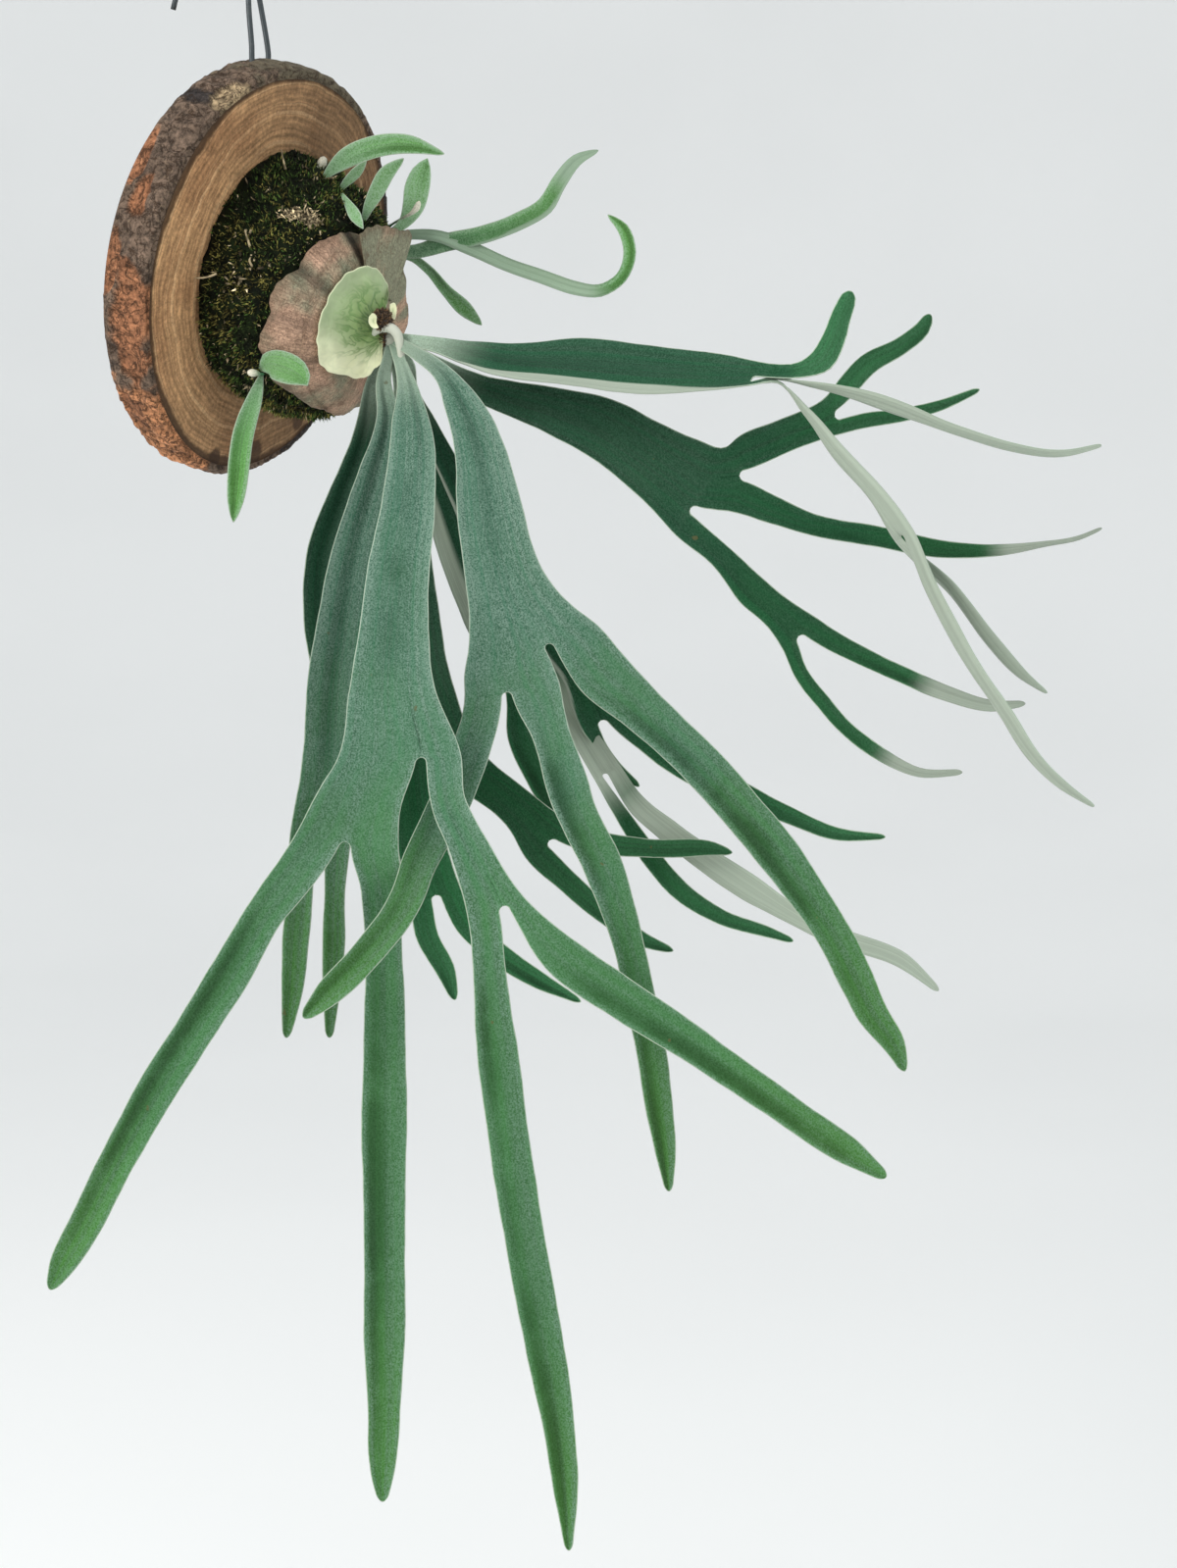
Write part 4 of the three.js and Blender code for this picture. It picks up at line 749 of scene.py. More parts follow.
def add_slice(skin, sizes):
    """The slice as rings from the middle of its face, over its bark, to the middle behind."""
    angle = ring_angles(SLICE_SIDES)
    edge = slice_radius(angle)
    wander = rough(round_axis(edge, angle, 0), 38, 3, 4.2)
    rings, grain, tint_and_shade = [], [], []

    def ring(radius, out, zone, growth, colours):
        rings.append(on_face(radius * np.cos(angle), radius * np.sin(angle), out))
        grain.append(np.stack([growth, angle * 60, np.full(SLICE_SIDES, zone)], -1))
        tint_and_shade.append(colours)

    # Painted light: the sawn face is lighter toward FACE_LIGHT_TURN and darker away from it
    light = np.maximum(0.6, 0.78 + 0.62 * np.cos(angle - math.radians(FACE_LIGHT_TURN)))
    for share in np.linspace(0.02, 1, FACE_RINGS):
        radius = share * (edge - FACE_INSET)
        flat = round_axis(radius, angle, 0)
        knot = np.zeros(SLICE_SIDES)
        for turn, from_middle, size in FACE_KNOTS:
            away = flat - round_axis(from_middle, math.radians(turn), 0)
            knot = np.maximum(knot, np.exp(-((np.hypot(away[:, 0], away[:, 1]) / size) ** 2)))
        wobble = 1.6 * rough(flat, 30, 2, 1.1) + 1.2 * wander * share
        worn = 0.22 * rough(flat, 5, 3, 7.7) * (share < 0.999)
        ring(radius, worn - 0.1, 0.0, radius + wobble, np.stack([light, knot, 0 * knot], -1))
    for out, grow, relief in rim_steps():
        height, colour, cap = bark_look(angle, edge, out, sizes)
        radius = edge + grow + relief * height * sizes.bark_relief / MM
        ring(radius, out, 1.0 - 0.15 * cap, edge, colour)
    # The back rings take an even 0.85 in place of the painted light of the face
    plain = np.tile([0.85, 0, 0], (SLICE_SIDES, 1))
    for share in np.linspace(1, 0.04, BACK_RINGS)[1:]:
        radius = (edge - BACK_INSET) * share
        ring(radius, -SLICE_THICKNESS, 0.0, radius + wander, plain)
    middles = [on_face(0, 0, -0.1), on_face(0, 0, -SLICE_THICKNESS)]
    unmarked = np.zeros((2, 3))
    skin.add(
        np.concatenate([*rings, middles]), capped_rings(len(rings), SLICE_SIDES),
        np.concatenate([*grain, unmarked]), np.concatenate([*tint_and_shade, unmarked]))


def slice_finish(sizes):
    """Sawn end grain inside the bark, and weathered bark round the rim, with painted light on the
    face and painted shade in the bark's fissures.
    """
    wood = Finish("log_slice_wood", Roughness=0.8, Specular_IOR_Level=0.25)
    growth, arc, zone = wood.mark("grain")
    light, knot, _ = wood.mark("tint_and_shade")
    tint_and_shade = wood.node("Attribute", {}, attribute_name="tint_and_shade", attribute_type="GEOMETRY")

    def rings_like(across, along, shift, detail, roughness, distortion=0.0):
        return wood.noise(1, detail, wood.vector(across, along, shift), roughness, distortion)

    growth_run = wood.plus(growth, wood.times(wood.noise(22, 3), 5.0))
    rings = rings_like(wood.over(growth_run, 3.8), 0.0, 0.0, 2, 0.6)
    fine_rings = rings_like(wood.over(growth_run, 1.7), 3.0, 0.0, 1, 0.5)
    rays = rings_like(wood.over(arc, 0.8), wood.over(growth, 9.0), 0.0, 2, 0.6)
    figure = rings_like(wood.over(growth, 5.0), wood.over(arc, 16.0), 7.0, 3, 0.6, 1.2)
    sawn = wood.noise(2.2, 5, roughness=0.8)
    saw_marks = wood.noise(1, 3, wood.node("Mapping", {
        "Vector": wood.place(), "Scale": (420, 60, 60), "Rotation": (0.2, 0.35, 0.0),
    }).outputs["Vector"], 0.6)

    clear = wood.span(wood.noise(60, 2), 0.4, 0.6, 0.35, 1.0)
    pale = wood.times(wood.span(rings, 0.54, 0.66), clear)
    stain = wood.span(wood.noise(40, 4), 0.45, 0.7)
    face = wood.mix(wood.times(stain, 0.8), sizes.wood_colour, sizes.stain_colour)
    face = wood.mottle(face, fine_rings, 0.78, 1.14, 0.35, 0.65)
    face = wood.mix(wood.times(pale, 0.7), face, sizes.ring_colour)
    for relief, dark, bright in (
        (rays, 0.93, 1.06), (figure, 0.84, 1.16), (sawn, 0.68, 1.3), (saw_marks, 0.88, 1.1),
    ):
        face = wood.mottle(face, relief, dark, bright)
    # Painted light: the face colour is scaled by the light painted across it
    face = wood.shade(face, light)
    charred = wood.plus(knot, wood.times(wood.noise(9, 4), 0.8))
    face = wood.mix(wood.span(charred, 0.75, 1.05, 0.0, 0.85), face, sizes.pore_colour)
    pores = wood.times(
        wood.span(wood.noise(1.6, 2), 0.66, 0.74), wood.span(wood.noise(18, 2), 0.5, 0.7))
    face = wood.mix(wood.times(pores, 0.8), face, sizes.pore_colour)
    ragged = wood.plus(growth, wood.times(wood.noise(7, 4), 5.0))
    face = wood.mix(wood.span(ragged, 101.0, 103.5, 0.0, 0.85), face, sizes.pore_colour)

    crust = wood.noise(3.2, 6, roughness=0.8)
    weathered = wood.mix(
        wood.span(zone, 0.86, 0.98), wood.span(crust, 0.3, 0.7, 0.7, 1.5),
        wood.span(crust, 0.3, 0.7, 0.25, 2.2))
    # The bark's colour mark carries painted shade in its fissures
    bark = wood.mix(1.0, tint_and_shade.outputs["Vector"], weathered, "MULTIPLY")
    lichen = wood.times(
        wood.span(wood.noise(1.6, 4, roughness=0.7), 0.56, 0.68),
        wood.span(wood.noise(15, 2), 0.4, 0.65))
    bark = wood.mix(wood.times(lichen, 0.55), bark, sizes.bark_torn_colour)
    crack = wood.lines(wood.noise(8, 4, roughness=0.6, distortion=0.8), 0.035)
    bark = wood.mix(wood.times(crack, 0.75), bark, sizes.pore_colour)

    in_bark = wood.span(zone, 0.3, 0.7)
    rugged = wood.less(wood.times(crust, 2.0), crack)
    height = wood.plus(wood.times(rugged, wood.plus(in_bark, 0.12)), wood.times(sawn, 0.12))
    return wood.done(wood.mix(in_bark, face, bark), height, 0.7)


# Wire
def catmull_path(points, per_span):
    """Centripetal spline through the points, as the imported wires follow."""
    points = np.asarray(points, float)
    ends = [2 * points[0] - points[1], *points, 2 * points[-1] - points[-2]]
    path = []
    for i in range(1, len(ends) - 2):
        p0, p1, p2, p3 = ends[i - 1:i + 3]
        t1 = np.linalg.norm(p1 - p0) ** 0.5
        t2 = t1 + np.linalg.norm(p2 - p1) ** 0.5
        t3 = t2 + np.linalg.norm(p3 - p2) ** 0.5
        for t in np.linspace(t1, t2, per_span, endpoint=False):
            a1 = (t1 - t) / t1 * p0 + t / t1 * p1
            a2 = (t2 - t) / (t2 - t1) * p1 + (t - t1) / (t2 - t1) * p2
            a3 = (t3 - t) / (t3 - t2) * p2 + (t - t2) / (t3 - t2) * p3
            b1 = (t2 - t) / t2 * a1 + t / t2 * a2
            b2 = (t3 - t) / (t3 - t1) * a2 + (t - t1) / (t3 - t1) * a3
            path.append((t2 - t) / (t2 - t1) * b1 + (t - t1) / (t2 - t1) * b2)
    return np.array([*path, points[-1]])


def add_tube(skin, path, widths, sides, mark):
    """A round tube with capped ends. Mark is one row of three numbers, or one for each ring."""
    heading = units(np.gradient(path, axis=0))
    across = unit(np.cross(heading[0], [0.3, 0.9, 0.2]))
    turn = ring_angles(sides)
    rings = []
    for point, ahead, width in zip(path, heading, widths):
        across = unit(across - ahead * (across @ ahead))
        beside = np.cross(ahead, across)
        rings.append(point + width / 2 * (
            np.outer(np.cos(turn), across) + np.outer(np.sin(turn), beside)))
    marks = np.broadcast_to(mark, (len(path), 3))
    skin.add(
        np.concatenate([*rings, path[:1], path[-1:]]), capped_rings(len(path), sides)[:, ::-1],
        np.concatenate([np.repeat(marks, sides, 0), marks[:1], marks[-1:]]))


def leg_points(side):
    """The leg of a wire from inside the rim to where the two strands meet."""
    forward = -HOOK_RADIUS - LEG_SET_FORWARD
    return [
        *((side * LEG_SPREAD / 2, forward, -RIM_BELOW_SEAT + up)
          for up in (-LEG_SINK, 0, LEG_STRAIGHT)),
        (side * LEG_SPREAD * TWIST_SPREAD, -HOOK_RADIUS, -RIM_BELOW_SEAT + TWIST_ABOVE_RIM),
    ]


def hook_path(diameter):
    """The wire from its leg up the strand, over the hook and down its free end."""
    springing = diameter / 2 - HOOK_RADIUS
    points = leg_points(1)
    below = WRAP_START_BELOW_SEAT
    while below > -springing:
        points.append((0, -HOOK_RADIUS, -below))
        below -= 6
    for turn in np.radians(np.arange(0, 181, 20)):
        points.append((
            0, -HOOK_RADIUS * math.cos(turn), springing + HOOK_RADIUS * math.sin(turn)))
    points.append((0, HOOK_RADIUS + 1, springing - HOOK_TAIL_DROP / 2))
    points.append((0, HOOK_RADIUS + HOOK_TAIL_FLARE, springing - HOOK_TAIL_DROP))
    return catmull_path(points, 6)


def brace_path(diameter):
    """The wire from its leg up, wound round the two strands."""
    wrap_radius = diameter + WRAP_CLEARANCE
    points = leg_points(-1)
    per_turn = 12
    for i in range(WRAP_TURNS * per_turn + 1):
        turn = math.pi + i / per_turn * 2 * math.pi
        points.append((
            wrap_radius * math.cos(turn), -HOOK_RADIUS + wrap_radius * math.sin(turn),
            -WRAP_START_BELOW_SEAT + 4 + i / per_turn * WRAP_PITCH))
    return catmull_path(points, 4)


def wire_finish(sizes):
    """Dark coated wire with a little dust and worn spots."""
    wire = Finish("coated_wire", Metallic=0.35, Specular_IOR_Level=0.5)
    dust = wire.noise(9, 4, roughness=0.7)
    colour = wire.mix(wire.span(dust, 0.5, 0.8, 0.0, 0.6), sizes.wire_colour, sizes.dust_colour)
    return wire.done(colour, wire.noise(0.7, 2), 0.05, wire.span(dust, 0.3, 0.8, 0.35, 0.7))


# Moss mound and shields share one dome
def dome_point(angle, reach, lift):
    """Reach runs from 0 at the top of the dome to 1 at its foot on the slice."""
    bend = 2 / MOUND_FULLNESS
    spread = np.sin(reach * math.pi / 2) ** bend
    rise = np.maximum(0, np.cos(reach * math.pi / 2)) ** bend
    return on_face(
        APEX_ACROSS_FACE * rise + spread * (MOUND_HALF_WIDTH + lift) * np.cos(angle),
        APEX_UP_FACE * rise + spread * (MOUND_HALF_HEIGHT + lift) * np.sin(angle),
        rise * (MOUND_DEPTH + lift) + GAP)


def dome_normal(angle, reach):
    step = 0.01
    along = dome_point(angle, reach + step, 0) - dome_point(angle, reach - step, 0)
    beside = dome_point(angle + step, reach, 0) - dome_point(angle - step, reach, 0)
    return units(np.cross(along, beside))


# Rim of the old shield, and its folds as (degrees round the dome, depth, half width)
OLD_RIM_TURN = (0, 30, 60, 80, 95, 108, 118, 127, 137, 147, 154, 161, 166, 172, 180, 188, 197, 206,
                213, 223, 232, 244, 259, 280, 300, 320, 340)
OLD_RIM_REACH = (0.29, 0.29, 0.32, 0.36, 0.4, 0.43, 0.47, 0.5, 0.53, 0.56, 0.575, 0.562, 0.6,
                 0.645, 0.665, 0.645, 0.68, 0.7, 0.675, 0.64, 0.57, 0.5, 0.46, 0.46, 0.45, 0.4,
                 0.33)
OLD_FOLDS = (
    (161, 1.0, 6), (139, 0.5, 7), (118, 0.8, 5), (188, 0.75, 6), (212, 0.9, 5), (236, 0.7, 7),
    (262, 0.6, 7), (290, 0.7, 8), (325, 0.7, 8), (0, 0.6, 8), (35, 0.6, 8),
)


def old_shield_edge(angle):
    """The reach of the old shield's rim all round."""
    return np.interp(np.degrees(angle) % 360, OLD_RIM_TURN, OLD_RIM_REACH, period=360)


def old_shield_folds(angle):
    """1 on the broad ribs of the old shield, lower in the folds between them."""
    ribs = np.ones_like(angle)
    for turn, depth, half_width in OLD_FOLDS:
        ribs -= depth * np.exp(-((degrees_past(angle, turn) / half_width) ** 2))
    return ribs


MOSS_BED_HUE = 0.25
DRY_SPRIG_SHARE = 0.035
# Where the outer fronds leave, the sprigs are shorter: degrees round the dome, reach, length
SHORT_SPRIGS = (75, 0.6, 0.3)


def moss_relief(angle, reach):
    """Height of the moss over the dome; it stays under the shield."""
    points = dome_point(angle, reach, 0)
    lumps = rough(points.reshape(-1, 3), 9, 4, 3.1).reshape(angle.shape)
    clear = smooth_step(reach - old_shield_edge(angle), 0.0, 0.06)
    return -0.5 + (0.9 + 2.0 * lumps) * clear


def sprig_marks(hue, rng):
    """Marks of spikes: their hue, their luck, and a place for the height."""
    return np.stack([hue, rng.uniform(0, 1, len(hue)), 0 * hue], -1)


def add_moss_bed(skin):
    sides, rows = 200, 70
    angle, reach = np.meshgrid(ring_angles(sides), np.linspace(0.03, 1, rows))
    points = dome_point(angle, reach, moss_relief(angle, reach)).reshape(-1, 3)
    top, foot = dome_point(0.0, 0.0, -0.5), on_face(0, 0, GAP)
    skin.add(
        np.concatenate([points, [top, foot]]), capped_rings(rows, sides),
        np.tile([MOSS_BED_HUE, 0, 0], (len(points) + 2, 1)))


def add_moss_sprigs(skin, count, length, rng):
    """Short bent sprigs over the bare part of the mound, in green, olive, rust and straw."""
    angle = rng.uniform(0, 2 * math.pi, 3 * count)
    reach = np.sqrt(rng.uniform(0.12, 1.0, 3 * count))
    bare = reach > old_shield_edge(angle) + 0.01
    angle, reach = angle[bare][:count], reach[bare][:count]
    count = len(angle)
    feet = dome_point(angle, reach, moss_relief(angle, reach) - 0.5)
    out = dome_normal(angle, reach)
    stray = rng.normal(0, 1, feet.shape)
    stray -= out * np.sum(stray * out, -1, keepdims=True)
    short_turn, short_reach, short_length = SHORT_SPRIGS
    short = (angle < math.radians(short_turn)) & (reach < short_reach)
    long = length * rng.uniform(0.45, 1.3, count) * np.where(short, short_length, 1.0)
    hue = np.clip(0.32 + 0.5 * rough(feet, 17, 3, 5.5) + rng.normal(0, 0.12, count), 0, 0.7)
    hue = np.clip(hue + 0.16 * (out @ PLUMB < 0.1), 0, 0.62)
    dry = rng.uniform(0, 1, count) > 1 - DRY_SPRIG_SHARE
    hue[dry] = rng.uniform(0.8, 1.0, dry.sum())
    marks = sprig_marks(hue, rng)
    tips = feet + units(out + 0.75 * stray) * long[:, None]
    add_spikes(
        skin, feet, tips, rng.uniform(0.5, 1.1, count), stray * (0.14 * long)[:, None], marks)


# Straw in the moss: degrees round the dome, reach, spread in millimetres, how many stalks
STRAW_TUFTS = (
    (137, 0.7, 5, 110), (141, 0.75, 4, 90), (134, 0.65, 4, 80), (182, 0.86, 9, 16),
    (112, 0.86, 12, 12), (165, 0.8, 14, 16), (225, 0.84, 12, 10),
)
# Twigs: degrees round the dome, reach, length
TWIG_SPOTS = (
    (158, 0.87, 12), (165, 0.84, 9), (172, 0.8, 8), (120, 0.93, 10), (100, 0.8, 8),
    (183, 0.95, 11), (205, 0.9, 9), (140, 0.76, 8),
)


def add_straw(skin, rng):
    """Tufts of dry stalks, and a few bowed twigs."""
    for turn, reach, spread, count in STRAW_TUFTS:
        middle = dome_point(math.radians(turn), reach, 1.2)
        out = dome_normal(math.radians(turn), reach)
        feet = middle + rng.normal(0, spread * 0.5, (count, 3))
        feet -= out * ((feet - middle) @ out)[:, None] * 0.8
        lie = units(rng.normal(0, 1, (count, 3)) + out * 0.4 - 0.8 * FACE_UP + 0.5 * FACE_ACROSS)
        tips = feet + lie * rng.uniform(1.5, 4.2, count)[:, None]
        marks = sprig_marks(rng.uniform(0.82, 1, count), rng)
        add_spikes(
            skin, feet, tips, rng.uniform(0.7, 2.0, count), rng.normal(0, 0.5, (count, 3)), marks)
    share = np.linspace(0, 1, 9)[:, None]
    for turn, reach, length in TWIG_SPOTS:
        angle = math.radians(turn)
        along = unit(rng.normal(0, 1, 3)) * length + dome_normal(angle, reach) * 1.5
        bow = rng.normal(0, 0.6, 3)
        path = dome_point(angle, reach, 1.5) + along * share + bow * np.sin(math.pi * share)
        add_tube(skin, path, np.linspace(1.3, 0.6, len(path)), 7, (0.95, 0.5, 0.5))


def moss_finish(sizes):
    """Colours run from dark and fresh green over olive and rust to straw, with painted shade at
    the feet of the sprigs, painted light at their tips and patches of painted shade and light.
    """
    moss = Finish("sheet_moss", Roughness=0.9, Specular_IOR_Level=0.15)
    hue, luck, height = moss.mark("sprig")
    patch = moss.plus(hue, moss.times(moss.less(moss.noise(16, 3), 0.5), 0.25))
    colour = moss.mix(moss.span(patch, 0.1, 0.38), sizes.moss_dark, sizes.moss_green)
    for shade, value, low, high in (
        (sizes.moss_olive, patch, 0.38, 0.58), (sizes.moss_rust, patch, 0.66, 0.76),
        (sizes.straw_colour, hue, 0.76, 0.86),
    ):
        colour = moss.mix(moss.span(value, low, high), colour, shade)
    colour = moss.mottle(colour, luck, 0.5, 1.8, 0.3, 1.0)
    # Painted light and shade: each sprig darker at its foot and lighter at its tip
    colour = moss.mottle(colour, height, 0.3, 1.7, 0.0, 1.0)
    # Patches of painted shade and light over the moss
    colour = moss.mottle(colour, moss.noise(6, 3), 0.4, 1.5, 0.36, 0.62)
    return moss.done(colour, moss.noise(0.9, 3), 0.3)


# Shields
SHIELD_RIM_SOFT = 0.08
OLD_SHIELD_START = 0.045
OLD_SHIELD_FOLD_TURN = 196
# Where the other shields lie over the old one: degrees from and to, reach, highest lift
UNDER_SHIELDS = ((60, 138, 1.0, 1.2), (128, 262, 0.44, 0.62))

# The upper sheet: its ends in degrees and its reaches. One corner of it reaches further.
UPPER_SHEET = (66, 124, 0.12, 0.425)
UPPER_CORNER = (68, 0.16, 0.035)


def shield_grid(start, end, near, far, across, along):
    """Angles, reaches and 0 to 1 steps (rows, columns) of a sheet over the dome."""
    angle, step = np.meshgrid(
        np.radians(np.linspace(start, end, across + 1)), np.linspace(0, 1, along + 1),
        indexing="ij")
    return angle, near + (far(angle) - near) * step, step


def rim_share(step, soft):
    """Thickness of a sheet: 1 inside it, falling to a thin edge at its far rim."""
    return 0.35 + 0.65 * np.sqrt(np.clip((1 - step) / soft, 0, 1))


def add_old_shield(skin, thick):
    """The dry sheet round the crown, ribbed and buckled, with a torn rim."""
    def far(angle):
        torn = 0.005 * np.sin(31 * angle) * np.sin(13 * angle + 1) + 0.0015 * np.sin(67 * angle)
        return old_shield_edge(angle) + torn

    angle, reach, step = shield_grid(0, 360, OLD_SHIELD_START, far, 300, 60)
    turn = np.degrees(angle)
    buckle = rough(dome_point(angle, reach, 0).reshape(-1, 3), 15, 3, 6.4).reshape(angle.shape)
    ribs = old_shield_folds(angle)
    grow = smooth_step(step, 0.15, 0.9)
    fold = np.exp(-((turn - OLD_SHIELD_FOLD_TURN - 7 * np.sin(5 * step)) / 3.5) ** 2)
    lift = 0.5 + grow * (2.1 * ribs + 0.9 * (buckle + 0.6)) * step + 2.2 * fold * grow
    for start, end, limit, top in UNDER_SHIELDS:
        under = (turn > start) & (turn < end) & (reach < limit)
        lift = np.where(under, np.minimum(lift, top), lift)
    low = dome_point(angle, reach, lift)
    high = dome_point(angle, reach, lift + thick * rim_share(step, SHIELD_RIM_SOFT))
    low[-1], high[-1] = low[0], high[0]
    green_end = 0.5 * smooth_step(turn, 10, 30) * smooth_step(-turn, -125, -105)
    # Painted shadow: a dark cleft drawn in colour only
    painted_cleft_shadow = np.exp(-(((turn - 122) / 3) ** 2)) * smooth_step(step, 0.4, 0.7)
    marks = np.stack([step, angle * 20, ribs + green_end - 1.3 * painted_cleft_shadow], -1)
    add_sheet(skin, low, high, marks, closed=True)


def add_upper_shield(skin, thick):
    """The dry sheet that stands off the mound above the crown."""
    *inside, limit = UPPER_SHEET
    turn, width, more = UPPER_CORNER

    def far(angle):
        corner = more * np.exp(-(((angle - math.radians(turn)) / width) ** 2))
        return limit + corner + 0.012 * np.sin(7 * angle) + 0.004 * np.sin(41 * angle)

    angle, reach, step = shield_grid(*inside, far, 60, 44)
    buckle = rough(dome_point(angle, reach, 0).reshape(-1, 3), 14, 3, 8.8).reshape(angle.shape)
    veins = np.sin(46 * angle + 2 * step)
    lift = 2.4 + 8.2 * step**2 + 0.8 * buckle * step + 0.12 * veins * step
    high = dome_point(angle, reach, lift + thick * rim_share(step, SHIELD_RIM_SOFT))
    marks = np.stack([step, angle * 20, 0 * step + 1.5], -1)
    add_sheet(skin, dome_point(angle, reach, lift), high, marks)


# Rim of the fresh shield on the sheet, from its lip over the bud round to its lip at the stalks
FRESH_RIM = (
    (-2.5, -18.5), (-1.8, -23), (-2.5, -28), (-5.5, -33), (-10, -36.5), (-15.5, -37), (-22, -34),
    (-28, -28), (-33, -20.5), (-36.3, -12), (-38, -3), (-38.3, 5), (-37.2, 12), (-33, 16.2),
    (-25.5, 18.6), (-17.5, 20.3), (-12.5, 19), (-9, 15.5), (-6, 13), (-5, 7.5), (-5, 3),
)
FRESH_FAN = (80, 285)  # degrees round the bud from the first to the last point of the rim
FRESH_INNER = 3.4
FRESH_COLUMNS = 44
FRESH_LIFT = 3.6  # over the dome
FRESH_OVER_BALL = 6.5  # from the rhizome's middle
FRESH_SMOOTHINGS = 6


def dome_toward(across, down):
    """How far toward the eye the dome's near side lies behind points of the sheet."""
    angle, reach = np.meshgrid(np.radians(np.arange(0, 360, 4)), np.linspace(0.02, 0.95, 60))
    points = dome_point(angle, reach, 0).reshape(-1, 3)
    sight = EYE - points
    facing = np.sum(dome_normal(angle, reach).reshape(-1, 3) * sight, -1) > 0
    near = np.array([sheet_point(point) for point in points[facing]])
    away = (across[..., None] - near[:, 0]) ** 2 + (down[..., None] - near[:, 1]) ** 2
    weight = 1 / (away + 0.6) ** 2
    return weight @ near[:, 2] / weight.sum(-1)


def add_fresh_shield(skin, thick):
    """The fresh shield, a kidney-shaped plate draped over the mound and round the bud."""
    rim = catmull_path(FRESH_RIM, 8)
    rows = len(rim)
    turn = np.radians(np.linspace(*FRESH_FAN, rows))
    bud = np.array(BUD_PLACE[:2])
    inner = bud + FRESH_INNER * np.stack([np.cos(turn), -np.sin(turn)], -1)
    step = np.linspace(0, 1, FRESH_COLUMNS)
    run = np.arange(rows) * 0.4
    scallop = 0.5 * np.sin(run) * np.sin(run * 0.37 + 1) + 0.2 * np.sin(run * 2.3)
    flat = inner[:, None] + step[:, None] * (rim - inner)[:, None]
    flat = flat + units(rim - inner)[:, None] * (scallop[:, None] * step**4)[..., None]
    across, down = flat[..., 0], flat[..., 1]
    ball = np.maximum(0, FRESH_OVER_BALL**2 - across**2 - down**2) ** 0.5
    over_upper = 5.5 * smooth_step(across, -22, -9) * smooth_step(-down, 13, 23)
    toward = np.maximum(dome_toward(across, down) + FRESH_LIFT + over_upper, ball)
    for _ in range(FRESH_SMOOTHINGS):
        inside = (toward[:-2] + toward[2:]) / 2
        toward[1:-1] = np.maximum(toward[1:-1], 0.5 * toward[1:-1] + 0.5 * inside)
        beside = (toward[:, :-2] + toward[:, 2:]) / 2
        toward[:, 1:-1] = 0.5 * toward[:, 1:-1] + 0.5 * beside
    ripple = 0.5 * np.sin(run * 0.9)[:, None] * step**2 + 1.4 * smooth_step(step, 0.8, 1)
    toward = toward + ripple
    high = place(across[..., None], down[..., None], toward[..., None])
    low = high - SHEET_TOWARD * thick * rim_share(step, 0.06)[:, None]
    fan = np.unwrap(np.arctan2(down, across - bud[0]), axis=0)
    marks = np.stack([step + 0 * across, fan, np.hypot(across - bud[0], down)], -1)
    add_sheet(skin, low, high, marks)


def dry_shield_finish(sizes):
    """Papery brown with a grey-green bloom and a net of fine veins, and painted shade in the folds
    between its ribs and in a cleft.
    """
    paper = Finish("dry_shield", Roughness=0.75, Specular_IOR_Level=0.3)
    step, arc, rib_bloom_and_shade = paper.mark("sheet")
    bloom = paper.plus(paper.noise(30, 4, roughness=0.55), paper.span(rib_bloom_and_shade, 1.0, 1.5, 0, 0.24))
    bloom = paper.span(bloom, 0.42, 0.66)
    colour = paper.mix(bloom, sizes.dry_shield_colour, sizes.shield_bloom_colour)
    specks = paper.span(paper.noise(8, 4), 0.56, 0.72)
    colour = paper.mix(paper.times(specks, 0.45), colour, sizes.dry_rim_colour)
    browned = paper.plus(step, paper.times(paper.noise(9, 3), 0.2))
    colour = paper.mix(paper.span(browned, 0.92, 1.1, 0.0, 0.55), colour, sizes.dry_rim_colour)
    streaks = paper.noise(
        1, 4, paper.vector(paper.times(arc, 2.6), paper.times(step, 5.0), 0.0), 0.65)
    colour = paper.mottle(colour, streaks, 0.68, 1.25)
    colour = paper.mottle(colour, paper.noise(1.0, 3, roughness=0.7), 0.76, 1.18)
    # Painted shade: darker in the folds between the ribs and in the cleft
    colour = paper.mottle(colour, rib_bloom_and_shade, 0.15, 1.1, -0.6, 0.9)
    net = paper.lines(paper.noise(2.4, 3, distortion=0.6), 0.05)
    colour = paper.mix(paper.times(net, 0.42), colour, sizes.dry_rim_colour)
    return paper.done(colour, paper.plus(streaks, paper.times(net, -0.5)), 0.35)


def fresh_shield_finish(sizes):
    """Pale yellow-green, with branching veins that fade out before the whitish rim, and a cream
    low half that is partly painted light.
    """
    leaf = Finish(
        "fresh_shield", Roughness=0.5, Specular_IOR_Level=0.35, Sheen_Weight=0.15)
    step, fan, reach = leaf.mark("sheet")
    colour = leaf.mix(leaf.span(step, 0.12, 1.0), sizes.fresh_base_colour, sizes.fresh_colour)
    # Cream low half: partly the shield's own paler colour, partly painted light where it lies in
    # shade
    low = leaf.times(leaf.span(fan, -2.7, -3.6), leaf.span(step, 0.25, 0.85))
    colour = leaf.mix(low, colour, sizes.fresh_cream_and_light_colour)
    polar = leaf.vector(leaf.times(fan, 3.4), leaf.times(reach, 0.1), 0.0)
    branches = leaf.lines(leaf.noise(1, 2, polar, roughness=0.65, distortion=0.5), 0.07)
    vein = leaf.times(branches, leaf.span(step, 0.85, 0.35, 0.08, 0.8))
    colour = leaf.mix(vein, colour, sizes.fresh_vein_colour)
    colour = leaf.mottle(colour, leaf.noise(9, 3), 0.9, 1.08)
    colour = leaf.mix(leaf.span(step, 0.96, 0.99, 0.0, 0.6), colour, sizes.fresh_cream_and_light_colour)
    return leaf.done(colour, leaf.less(1.0, vein), sizes.vein_height / MM)


